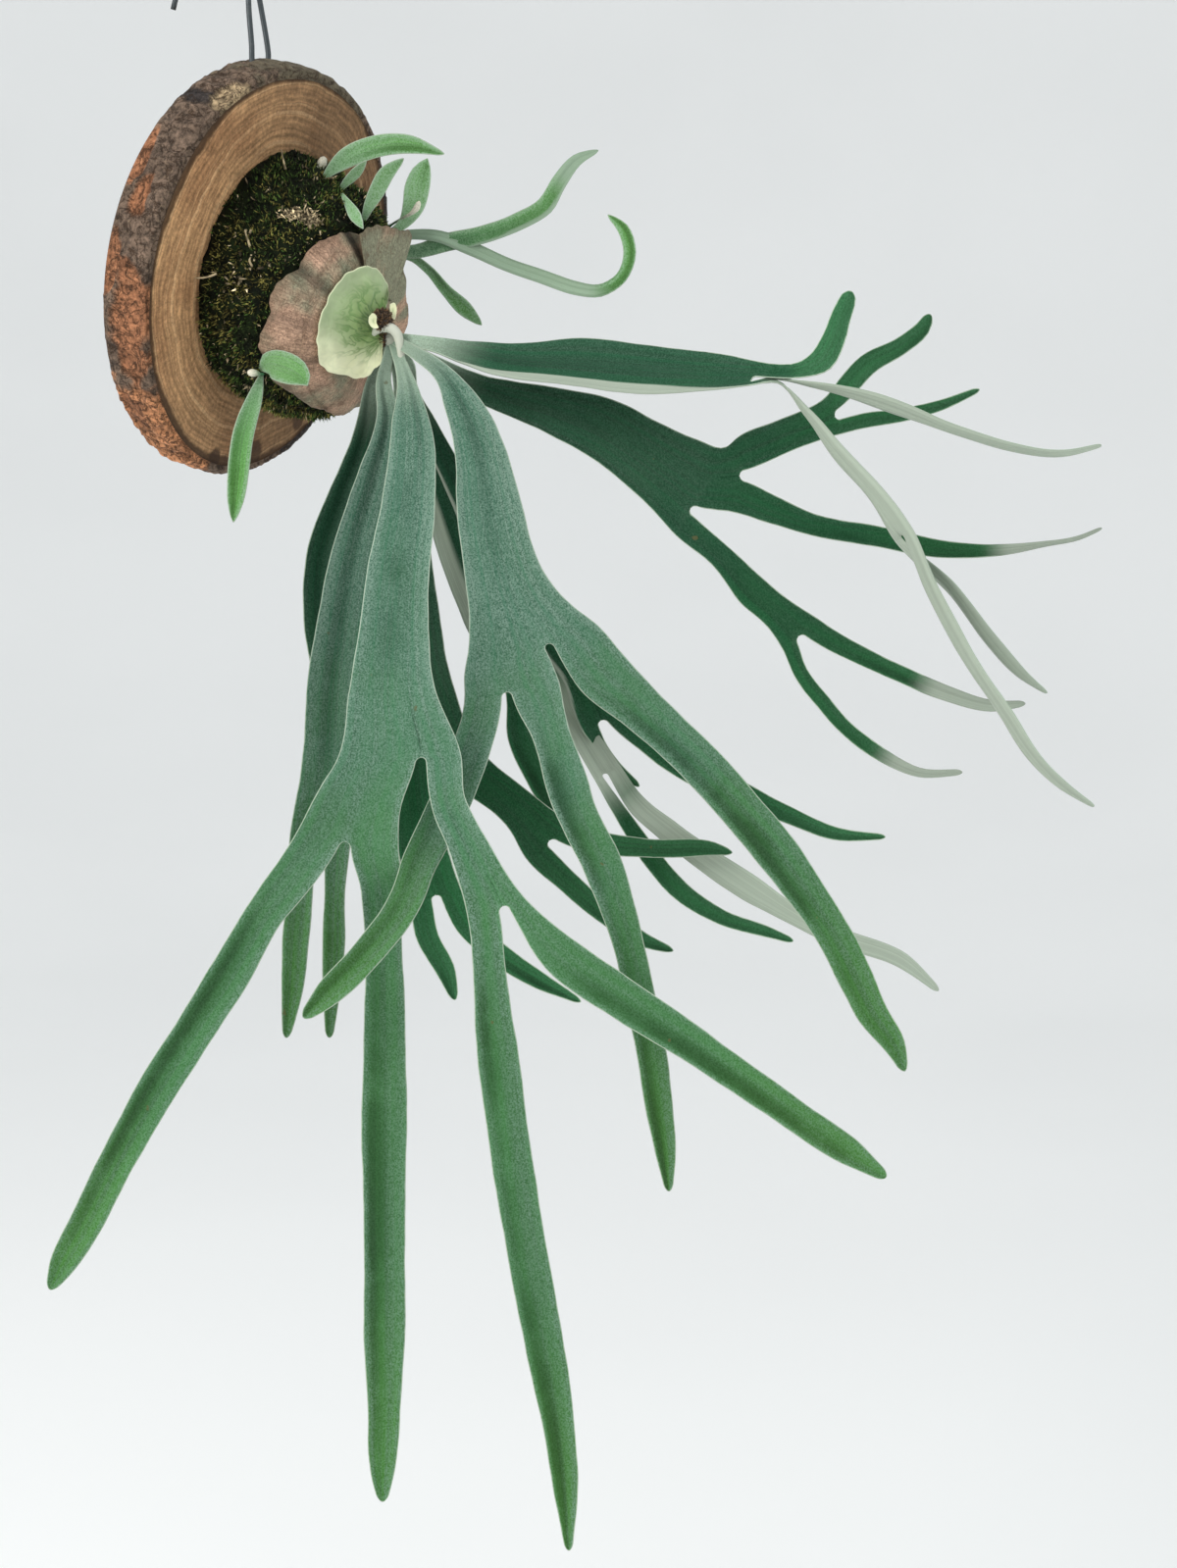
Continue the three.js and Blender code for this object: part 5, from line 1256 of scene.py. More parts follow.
# Rhizome and growing bud
RHIZOME_RADIUS = 5.0
RHIZOME_SCALES, BUD_SCALES = (1500, 3.0), (900, 2.3)  # how many, length
BUD_PLACE = (-5.0, -9.5, 9.5)
BUD_HALF = np.array([5.2, 4.4, 5.8]) * 0.85
SHEET_AXES = np.array([SHEET_RIGHT, SHEET_TOWARD, SHEET_UP])
# The flaps beside the bud: how far toward the eye, and their outline in (across, down)
COLLAR_FLAPS = (
    (13.5, ((-12, -11), (-10, -13), (-8, -11.5), (-8, -8), (-7, -5.5), (-10, -5.5), (-12, -8))),
    (8.5, ((-1.2, -17.5), (1, -18.3), (2.2, -16), (2, -12), (1, -9.5), (-1, -12), (-1.3, -15))),
)
# The felted foot of the front frond's stalk, bent over the rhizome: (across, down, toward, width)
STALK_BASE = (
    (-9.5, -2, 5, 2.2), (-8, -4.2, 7, 4.2), (-4.5, -5.6, 9, 4.8), (-0.5, -5.2, 10, 5.2),
    (2.4, -2.4, 9.6, 5), (3.8, 2.4, 8.4, 4.4), (4.4, 7, 7, 3.8), (4.8, 11.5, 6, 3.2),
    (5.2, 16, 6, 2.6), (5.8, 21, 8, 2),
)


def add_knob(skin, centre, half, mark):
    """A slightly lumpy ball. Half holds its reach along the sheet's right, toward and up."""
    sides, rows = 48, 28
    turn, tilt = np.meshgrid(ring_angles(sides), np.linspace(0.08, math.pi - 0.08, rows))
    way = np.stack([np.sin(tilt) * np.cos(turn), np.sin(tilt) * np.sin(turn), np.cos(tilt)], -1)
    way = np.concatenate([way.reshape(-1, 3), [[0, 0, 1], [0, 0, -1]]])
    grown = 1 + 0.07 * rough(way * 20, 11, 3, 1.9)
    points = centre + (way * half * grown[:, None]) @ SHEET_AXES
    skin.add(points, capped_rings(rows, sides), np.tile(mark, (len(points), 1)))


def add_scales(skin, centre, half, heading, count, length, rng, side=None):
    """Brown papery scales that lie over a knob and point along its heading."""
    way = units(rng.normal(0, 1, (count, 3)))
    if side is not None:
        way = way[way @ side > 0.1]
    count = len(way)
    feet = centre + (way @ SHEET_AXES.T * half) @ SHEET_AXES * 0.97
    lie = units(way * 0.7 + heading + rng.normal(0, 0.35, (count, 3)))
    tips = feet + lie * (length * rng.uniform(0.5, 1.2, count))[:, None]
    marks = sprig_marks(rng.uniform(0, 1, count), rng)
    add_spikes(skin, feet, tips, rng.uniform(0.35, 0.8, count), 0.1 * way, marks)


def add_collar_flap(skin, toward, outline):
    """A small rounded flap beside the bud."""
    fine = catmull_path([*outline, outline[0]], 6)
    middle = np.mean(outline, 0)
    share = np.linspace(0, 1, 12)
    flat = middle + share[:, None] * (fine - middle)[:, None]
    across, down = flat[..., :1], flat[..., 1:]
    cup = (toward + 1.6 * share**2)[:, None]
    half = (0.35 * np.sqrt(np.clip(1.02 - share, 0, 1)))[:, None]
    marks = np.stack([0.6 + 0.4 * share, 0 * share - 3.5, 0 * share], -1)
    add_sheet(
        skin, place(across, down, cup - half), place(across, down, cup + half),
        np.tile(marks, (len(fine), 1)))


def scale_finish(sizes):
    """Brown fuzz, paler at the tips, over pale felt where the stalks leave."""
    fuzz = Finish("rhizome_scales", Roughness=0.85, Specular_IOR_Level=0.2, Sheen_Weight=0.2)
    hue, luck, height = fuzz.mark("sprig")
    colour = fuzz.mix(fuzz.span(hue, 0.35, 1.0), sizes.rhizome_colour, sizes.scale_colour)
    colour = fuzz.mix(fuzz.span(hue, 1.2, 1.8), colour, sizes.stalk_colour)
    colour = fuzz.mottle(colour, luck, 0.6, 1.3, 0.0, 1.0)
    colour = fuzz.mottle(colour, height, 0.6, 1.25, 0.0, 1.0)
    return fuzz.done(colour, fuzz.noise(1.0, 3), 0.2)


# Blades
LOBE_MARKS = np.array([0, 0.03, 0.09, 0.18, 0.3, 0.41, 0.5, 0.59, 0.7, 0.82, 0.91, 0.97, 1])
TIP_ROUNDING = 4.0
EDGE_CURL = 1.5
EDGE_CURL_REACH = 5.5
EDGE_THINNING = 1.4
PARENT_BLEND = 26
PALE_BLEND = 16
FROND_STALK_THICKNESS = 3.0
YOUNG_ROOT_DEPTH = 5

# A frond starts at two stations on the way to its first: from the crown's middle, share of width
FROND_FEET = ((2.0, 0.75), (CROWN_RADIUS + GAP, 0.85))

# Unevenness of the edges: height, two lengths over 2 pi, their phases. The last is a ruffle.
EDGE_WAVES = ((0.3, 11, 29, 0, 1), (0.1, 3.1, 23, 2, 0))
EDGE_RUFFLE = (0.7, 12, 41, 1, 0)
CALM_AT_FORK, CALM_AT_ROOT = 14, 40

# Folds along a blade: waves across it, height, phase
BLADE_FOLDS = ((1.0, 0.9, 0), (2.3, 0.55, 4))
FOLD_FADE, FOLD_REACH = 45, 330


def column_marks(strip, start=0.0, end=1.0):
    """Places of the columns across a strip, from 0 to 1, with one at the cut of each fork."""
    if not strip["arms"]:
        return start + (end - start) * LOBE_MARKS
    cut = start + (end - start) * strip["share"]
    left, right = strip["arms"]
    return np.concatenate([column_marks(left, start, cut), column_marks(right, cut, end)[1:]])


def cross_row(station, tangent, marks, run):
    """Points across the blade at a station, and the blade's normal there."""
    across, down, toward, width, roll = (*station, 0)[:5]
    point = place(across, down, toward)
    sight = unit(EYE - point)
    facing = unit(sight - tangent * (sight @ tangent))
    level = np.cross(facing, tangent)
    turn = math.radians(roll)
    normal = facing * math.cos(turn) + level * math.sin(turn)
    side = level * math.cos(turn) - facing * math.sin(turn)
    half = width / 2 * (1 - toward / VIEW_DISTANCE)
    off = 2 * marks - 1
    wave = WAVE_HEIGHT * min(1, width / 40)
    lift = GUTTER * half * off**2 + wave * off * np.sin(run / WAVE_LENGTH * 2 * math.pi + off)
    return {
        "points": point + np.outer(off * half, side) + np.outer(lift, normal),
        "normal": normal, "distance": run,
    }


def lay_rows(strip, first, run):
    """The rows at the stations of a strip and of its arms."""
    marks = column_marks(strip)
    centres = [place(*station[:3]) for station in strip["spine"]]
    before = (first["points"][0] + first["points"][-1]) / 2 if first else strip["root"]
    rows = [first] if first else []
    for i, station in enumerate(strip["spine"]):
        behind = centres[i - 1] if i else before
        ahead = centres[min(i + 1, len(centres) - 1)]
        run += np.linalg.norm(centres[i] - behind)
        rows.append(cross_row(station, unit(ahead - behind), marks, run))
    strip["rows"] = rows
    strip["far"] = run
    if strip["arms"]:
        end = rows[-1]
        cut = len(column_marks(strip["arms"][0])) - 1
        lay_rows(strip["arms"][0], {**end, "points": end["points"][:cut + 1]}, run)
        lay_rows(strip["arms"][1], {**end, "points": end["points"][cut:]}, run)
        strip["far"] = max(arm["far"] for arm in strip["arms"])


def step_lengths(steps):
    """How far each point of a row is from the next row, and at least a millimetre."""
    return np.maximum(1, np.linalg.norm(steps, axis=1, keepdims=True))


def row_slopes(rows, before, after):
    """Direction of the blade at each point of its rows, per millimetre."""
    chain = [before, *rows, after]
    found = []
    for i, row in enumerate(rows):
        behind = None if chain[i] is None else row - chain[i]
        ahead = None if chain[i + 2] is None else chain[i + 2] - row
        if behind is None or ahead is None:
            only = ahead if behind is None else behind
            found.append(only / step_lengths(only))
        else:
            far, near = step_lengths(ahead), step_lengths(behind)
            found.append((ahead * near / far + behind * far / near) / (far + near))
    return found


def hermite(start, end, slope_start, slope_end, t):
    """The row at a share t of the way between two rows, on a smooth curve."""
    length = np.linalg.norm(end - start, axis=1, keepdims=True)
    return (
        start * (2 * t**3 - 3 * t**2 + 1) + slope_start * (t**3 - 2 * t**2 + t) * length
        + end * (3 * t**2 - 2 * t**3) + slope_end * (t**3 - t**2) * length)


def fine_rows(strip, before, row_step, is_arm):
    """Close rows through the laid ones: points (rows, columns, 3), normals and distances."""
    after = None
    if strip["arms"]:
        left, right = (arm["rows"][1]["points"] for arm in strip["arms"])
        after = np.concatenate([left[:-1], [(left[-1] + right[0]) / 2], right[1:]])
    laid = [row["points"] for row in strip["rows"]]
    runs = [row["distance"] for row in strip["rows"]]
    slopes = row_slopes(laid, before, after)
    points, normals, distances = [laid[0]], [strip["rows"][0]["normal"]], [runs[0]]
    for i in range(1, len(laid)):
        length = runs[i] - runs[i - 1]
        shares = set(np.linspace(0, 1, max(1, round(length / row_step)) + 1)[1:])
        if is_arm and i == 1:
            shares |= {SINUS_RADIUS * k / length for k in (0.12, 0.3, 0.55, 0.8, 1.05, 1.5)}
        if not strip["arms"] and i == len(laid) - 1:
            shares |= {1 - TIP_ROUNDING * k / length for k in (1, 0.75, 0.5, 0.3, 0.15, 0.05)}
        for t in sorted(share for share in shares if 0 < share <= 1):
            points.append(hermite(laid[i - 1], laid[i], slopes[i - 1], slopes[i], t))
            normals.append(unit(
                strip["rows"][i - 1]["normal"] * (1 - t) + strip["rows"][i]["normal"] * t))
            distances.append(runs[i - 1] + t * length)
    return np.array(points), np.array(normals), np.array(distances)


def moved(points, ways, amounts, weights):
    """Rows of points moved along each row's way, by its amount times each column's weight."""
    return points + ways[:, None] * (amounts[:, None] * weights)[..., None]


def edge_wave(runs, phases, height, short, long, first, second):
    return height * np.sin(runs / short + phases[first]) * np.sin(runs / long + phases[second])


def shaped_rows(strip, before, sizes, inner, phases):
    """Fine rows with the round sinus of a fork, round tips and a slightly uneven rim."""
    points, normals, runs = fine_rows(strip, before, sizes.blade_row_step / MM, inner != 0)
    marks = column_marks(strip)
    past, left_over = runs - runs[0], runs[-1] - runs
    side = points[:, -1] - points[:, 0]
    width = np.linalg.norm(side, axis=1)
    side = side / np.maximum(width, 1e-6)[:, None]
    if inner:
        fade = np.maximum(0, 1 - past / min(SINUS_FADE, runs[-1] - runs[0]))
        radius = min(SINUS_RADIUS, 0.2 * width[0])
        inset = radius * fade * np.sqrt(1 - (1 - np.minimum(1, past / radius)) ** 2)
        points = moved(points, inner * side, inset, marks if inner < 0 else 1 - marks)
    calm = np.minimum(1, past / (CALM_AT_FORK if inner else CALM_AT_ROOT))
    if strip["arms"]:
        calm = calm * np.minimum(1, left_over / CALM_AT_FORK)
    calm = calm * np.minimum(1, width / CALM_AT_FORK)
    for weight, sign, own in (((1 - marks) ** 3, -1, phases), (marks**3, 1, phases[3:])):
        uneven = sum(edge_wave(runs, own, *each) for each in EDGE_WAVES)
        points = moved(points, sign * side, calm * uneven, weight)
        points = moved(points, normals, calm * edge_wave(runs, own, *EDGE_RUFFLE), weight)
    calm = smooth_step(past, 5, FOLD_FADE) * np.exp(-runs / FOLD_REACH)
    calm = calm * smooth_step(left_over, 0, FOLD_FADE)
    for cycles, height, phase in BLADE_FOLDS:
        fold = height * np.sin(2 * math.pi * cycles * marks + phases[phase])
        points = moved(points, normals, calm, fold)
    if not strip["arms"]:
        shrink = np.sqrt(1 - (1 - np.clip(left_over / TIP_ROUNDING, 0, 1)) ** 2)
        middle = (points[:, :1] + points[:, -1:]) / 2
        points = middle + (points - middle) * np.maximum(0.1, shrink)[:, None, None]
    return points, normals, runs


def rim_distance(points, strip, runs):
    """Distance of each point from the nearest edge of the blade."""
    away = np.minimum(
        np.linalg.norm(points - points[:, :1], axis=2),
        np.linalg.norm(points - points[:, -1:], axis=2))
    if not strip["arms"]:
        return np.minimum(away, (runs[-1] - runs)[:, None])
    cut = len(column_marks(strip["arms"][0])) - 1
    return np.minimum(away, np.linalg.norm(points - points[-1, cut], axis=2))


def painted_groove_shade(strip, runs, marks, phase):
    """Painted shade in place of a hollow along a lobe, or along the left half of a strip that
    forks.
    """
    deep = smooth_step(runs - runs[0], 6, 60) * (0.75 + 0.25 * np.sin(runs / 37 + phase))
    if strip["arms"]:
        deep = 0.55 * deep * smooth_step(runs[-1] - runs, 6, 60)
        return np.outer(deep, np.exp(-(((marks - 0.45) / 0.24) ** 2)))
    return np.outer(deep, smooth_step(marks, 0.0, 0.22) * smooth_step(-marks, -0.8, -0.26))


def add_strip(skin, strip, before, sizes, look, parent=None, inner=0, span=(0.0, 1.0)):
    """One strip of a blade and its arms. Parent holds what it shares with the row above it."""
    phases = look["rng"].uniform(0, 2 * math.pi, 6)
    points, normals, runs = shaped_rows(strip, before, sizes, inner, phases)
    marks = column_marks(strip)
    rim = rim_distance(points, strip, runs)
    to_tip = strip["far"] - runs
    pale = strip["pale"]
    felt = 0 * runs
    if pale:
        felt = smooth_step(math.copysign(1, pale) * (abs(pale) - to_tip), 0, PALE_BLEND)
    if parent:
        rim[0] = parent["rim"]
        blend = smooth_step(runs - runs[0], 0, PARENT_BLEND)
        to_tip = to_tip * blend + (parent["far"] - runs) * (1 - blend)
        felt = np.maximum(felt * blend, parent["felt"] * (1 - blend))
    stalk = (look["stalk"] - look["thick"]) * np.exp(-runs / STALK_FADE)
    edge = 0.3 + 0.7 * np.sqrt(1 - (1 - np.clip(rim / EDGE_THINNING, 0, 1)) ** 2)
    half = (look["thick"] + stalk)[:, None] / 2 * edge
    curl = EDGE_CURL * np.exp(-rim / EDGE_CURL_REACH) * (1 - np.exp(-runs / STALK_FADE))[:, None]
    points = points + normals[:, None] * curl[..., None]
    offset = normals[:, None] * half[..., None]
    hem_share = strip["hem"] * smooth_step(runs, 25, 90) * (
        0.2 + 0.8 * smooth_step(runs[-1] - runs, 0, 50))
    hem = smooth_step(hem_share[:, None] - marks, 0, 0.03)
    flat = np.ones(rim.shape)
    along = np.stack([runs[:, None] * flat, to_tip[:, None] * flat, rim], -1)
    across = (span[0] + (span[1] - span[0]) * marks) * flat
    sides = []
    for under in (0.0, 1.0):
        side_felt = np.maximum(np.maximum(felt, under)[:, None] * flat, hem)
        sides.append(np.stack([across, side_felt, look["tone_and_painted_light"] * flat], -1))
    # Painted shade: a dark streak along each lobe, kept beside the mint felt in one mark
    groove_shade = painted_groove_shade(strip, runs, marks, phases[5])
    groove_shade = np.stack([groove_shade, look["mint"] * flat, 0 * flat], -1)
    skin.add(
        np.stack([points + offset, points - offset]),
        sheet_faces(*rim.shape, not parent, not strip["arms"]),
        np.stack([along, along]), np.stack(sides), np.stack([groove_shade, groove_shade]))
    if not strip["arms"]:
        return
    cut = len(column_marks(strip["arms"][0])) - 1
    middle = span[0] + (span[1] - span[0]) * strip["share"]
    above = strip["rows"][-2]["points"]
    for arm, columns, side, part in (
        (strip["arms"][0], slice(0, cut + 1), -1, (span[0], middle)),
        (strip["arms"][1], slice(cut, None), 1, (middle, span[1])),
    ):
        shared = {"far": strip["far"], "felt": felt[-1], "rim": rim[-1, columns]}
        add_strip(skin, arm, above[columns], sizes, look, shared, side, part)


def add_blade(skin, strip, root, stalk, sizes, tone_and_painted_light, mint, rng):
    """A blade that grows from its root. Stalk is its thickness there in millimetres."""
    whole = {**strip, "root": root}
    lay_rows(whole, None, 0)
    look = {"thick": sizes.blade_thickness / MM, "stalk": stalk, "tone_and_painted_light": tone_and_painted_light, "mint": mint,
            "rng": rng}
    add_strip(skin, whole, None, sizes, look)


def add_frond(skin, strip, sizes, tone_and_painted_light, rng):
    """A frond that starts square on the crown."""
    first = strip["spine"][0]
    heading = unit(place(*first[:3]) - CROWN)
    roll = first[4] if len(first) > 4 else 0
    feet = [
        (*sheet_point(CROWN + heading * away), first[3] * share, roll)
        for away, share in FROND_FEET
    ]
    whole = {**strip, "spine": [*feet, *strip["spine"]]}
    add_blade(skin, whole, CROWN, FROND_STALK_THICKNESS, sizes, tone_and_painted_light, 0.0, rng)


def add_young_leaf(skin, strip, sizes, tone_and_painted_light, mint, rng):
    """A young leaf whose stalk is no thicker than its blade."""
    across, down, toward = strip["spine"][0][:3]
    root = place(across, down, toward - YOUNG_ROOT_DEPTH)
    add_blade(skin, strip, root, sizes.blade_thickness / MM, sizes, tone_and_painted_light, mint, rng)


def add_club(skin, stations, mark=None):
    """A round stalk or club. It is marked with the share of its length, or with one mark."""
    path = catmull_path([place(*station[:3]) for station in stations], 6)
    share = np.linspace(0, 1, len(path))
    width = np.interp(share, np.linspace(0, 1, len(stations)), [each[3] for each in stations])
    if mark is None:
        mark = np.stack([share, 0 * share, 0 * share], -1)
    add_tube(skin, path, width, 18, mark)


def bud_finish(sizes):
    """Cream felt over a green foot."""
    bud = Finish("unopened_leaf", Roughness=0.65, Specular_IOR_Level=0.15, Sheen_Weight=0.1)
    share, _, _ = bud.mark("along")
    ragged = bud.plus(share, bud.times(bud.noise(1.5, 3), 0.3))
    colour = bud.mix(bud.span(ragged, 0.25, 0.75), sizes.young_base_colour, sizes.bud_colour)
    grain = bud.noise(0.5, 3)
    return bud.done(bud.mottle(colour, grain, 0.8, 1.15), grain, 0.1)


def blade_finish(name, sizes, greens, felt, underside, cover, halo=0.0, foot=1.0):
    """Leathery green under fine pale felt. Cover is the felt's share at the base and the tips,
    halo its share along the rim, and foot how far the pale foot of the stalk shows."""
    leaf = Finish(name, Roughness=0.5, Specular_IOR_Level=0.12, Sheen_Weight=0.015,
                  Sheen_Roughness=0.5)
    run, to_tip, rim = leaf.mark("along")
    across, under, tone_and_painted_light = leaf.mark("across")
    groove_shade, mint, _ = leaf.mark("groove_shade")

    def drawn_out(width, length, roughness):
        """Noise in streaks along the blade."""
        stretched = leaf.vector(leaf.times(across, width), leaf.over(run, length), tone_and_painted_light)
        return leaf.noise(1, 2, stretched, roughness)

    streak, veins = drawn_out(15, 190, 0.5), drawn_out(75, 240, 0.55)
    grain = leaf.noise(0.8, 2, roughness=0.7)
    groove_shade = leaf.times(groove_shade, leaf.span(leaf.noise(26, 3), 0.3, 0.55, 0.6, 1.0))

    base, middle, tip = greens
    age = leaf.plus(run, leaf.times(leaf.less(leaf.noise(38, 3), 0.5), 200))
    # Near the crown the base green is darker, partly as painted shade
    colour = leaf.mix(leaf.span(age, 110, 380), base, middle)
    colour = leaf.mix(leaf.span(to_tip, 130, 10, 0.0, 0.9), colour, tip)
    colour = leaf.mottle(colour, streak, 0.75, 1.22, 0.25, 0.75)
    # Painted shade: darker along the streak and a little lighter beside it
    colour = leaf.mottle(colour, groove_shade, 1.15, 0.6, 0.0, 1.0)
    colour = leaf.mottle(colour, grain, 0.82, 1.15)

    felted = leaf.weigh(
        leaf.span(age, 60, 360, *cover),
        (streak, 0.2, 0.8, 1.35, 0.6), (veins, 0.25, 0.75, 1.25, 0.75),
        (rim, 5.0, 0.0, 1.0, 1.7))
    for more in (
        leaf.span(run, 48, 8, 0.0, 0.55 * foot), mint, leaf.span(rim, 3.2, 0.6, 0.0, halo),
    ):
        felted = leaf.plus(felted, more)
    # Less felt lies in the painted shade streak, so it looks deeper green there
    felted = leaf.weigh(
        felted, (groove_shade, 0.0, 0.9, 1.1, 0.2), (grain, 0.32, 0.68, 0.2, 1.9),
        (leaf.noise(3.0, 2), 0.3, 0.7, 0.85, 1.15))
    colour = leaf.mix(leaf.math("MINIMUM", felted, 0.95), colour, felt)
    colour = leaf.mix(leaf.span(run, 62, 16, 0.0, 0.4 * foot), colour, sizes.margin_colour)
    colour = leaf.mix(under, colour, leaf.mottle(underside, veins, 0.88, 1.1))

    upper = leaf.span(under, 0.6, 0.2)
    ragged = leaf.plus(rim, leaf.times(leaf.noise(3.5, 3), 0.5))
    line = leaf.times(leaf.span(ragged, 0.85, 0.5, 0.0, 0.7), upper)
    colour = leaf.mix(line, colour, sizes.margin_colour)
    spots = leaf.times(leaf.span(leaf.noise(7, 2, roughness=0.4), 0.77, 0.8, 0.0, 0.6), upper)
    # Painted light and shade: the whole colour is scaled by each blade's tone
    colour = leaf.shade(leaf.mix(spots, colour, sizes.spot_colour), tone_and_painted_light)
    return leaf.done(colour, leaf.plus(leaf.times(grain, 0.5), leaf.times(veins, 1.2)), 0.16)


# Stage, light and camera
def stage_finish(sizes):
    plain = Finish("pale_studio_floor", Roughness=0.9, Specular_IOR_Level=0.1)
    return plain.done(plain.mottle(sizes.floor_colour, plain.noise(900, 2), 0.985, 1.01))


def add_stage(sizes):
    """A pale floor that curves up all round, far outside the plant."""
    low = CAD_BOX[0][2] - sizes.floor_drop
    flat, rise, sides = 2.6, 3.4, 96
    bend = np.linspace(0, math.pi / 2, 24)[1:]
    radii = np.concatenate([np.linspace(0.1, flat, 12), flat + rise * np.sin(bend)])
    heights = np.concatenate([np.zeros(12), rise * (1 - np.cos(bend))])
    turn = ring_angles(sides)
    rings = [round_axis(radius, turn, low + height) for radius, height in zip(radii, heights)]
    faces = grid_quads(len(rings), sides, closed=True).tolist()
    faces += [(len(rings) * sides, i, (i + 1) % sides) for i in range(sides)]
    mesh = bpy.data.meshes.new("floor")
    mesh.from_pydata(np.concatenate([*rings, [[0, 0, low]]]).tolist(), [], faces)
    mesh.shade_smooth()
    mesh.materials.append(stage_finish(sizes))
    show("floor", mesh)


# Lights: metres toward the camera, right and up from the crown, size, colour
LIGHTS = {
    "key_light": (1.2, -1.3, 0.7, 1.1, (1.0, 0.985, 0.96)),
    "fill_light": (1.2, 1.6, 0.1, 1.6, (0.95, 1.0, 1.0)),
}


def add_soft_light(name, place_of, target, size, power, colour):
    lamp = bpy.data.lights.new(name, "AREA")
    lamp.shape, lamp.size, lamp.energy, lamp.color = "DISK", size, power, colour
    made = show(name, lamp)
    made.location = place_of
    made.visible_camera = False
    made.rotation_mode = "QUATERNION"
    made.rotation_quaternion = (Vector(target) - Vector(place_of)).to_track_quat("-Z", "Y")


def add_lights(sizes):
    world = bpy.data.worlds.new("pale_room")
    world.use_nodes = True
    backdrop = world.node_tree.nodes["Background"]
    backdrop.inputs["Color"].default_value = (*sizes.air_colour, 1)
    backdrop.inputs["Strength"].default_value = sizes.air_light
    bpy.context.scene.world = world
    middle = CROWN * MM
    for (name, light), power in zip(LIGHTS.items(), (sizes.key_power, sizes.fill_power)):
        toward, right, up, size, colour = light
        spot = middle + toward * SHEET_TOWARD + right * SHEET_RIGHT + up * PLUMB
        add_soft_light(name, spot, middle, size, power, colour)


def add_camera():
    lens = bpy.data.cameras.new("camera")
    lens.sensor_width, lens.lens = 36, 50
    lens.clip_start, lens.clip_end = 0.05, 50
    camera = show("camera", lens)
    turned = Matrix(np.stack([SHEET_RIGHT, SHEET_UP, SHEET_TOWARD], -1).tolist()).to_4x4()
    camera.matrix_world = Matrix.Translation(EYE * MM) @ turned
    bpy.context.scene.camera = camera


# What a user would change
def colour_setting(name, default, description):
    return FloatVectorProperty(
        name=name, description=description, default=default, subtype="COLOR", min=0, max=1)


def length_setting(name, default, description):
    return FloatProperty(
        name=name, description=description, default=default, min=0, unit="LENGTH")


def amount_setting(name, default, description):
    return FloatProperty(name=name, description=description, default=default, min=0)


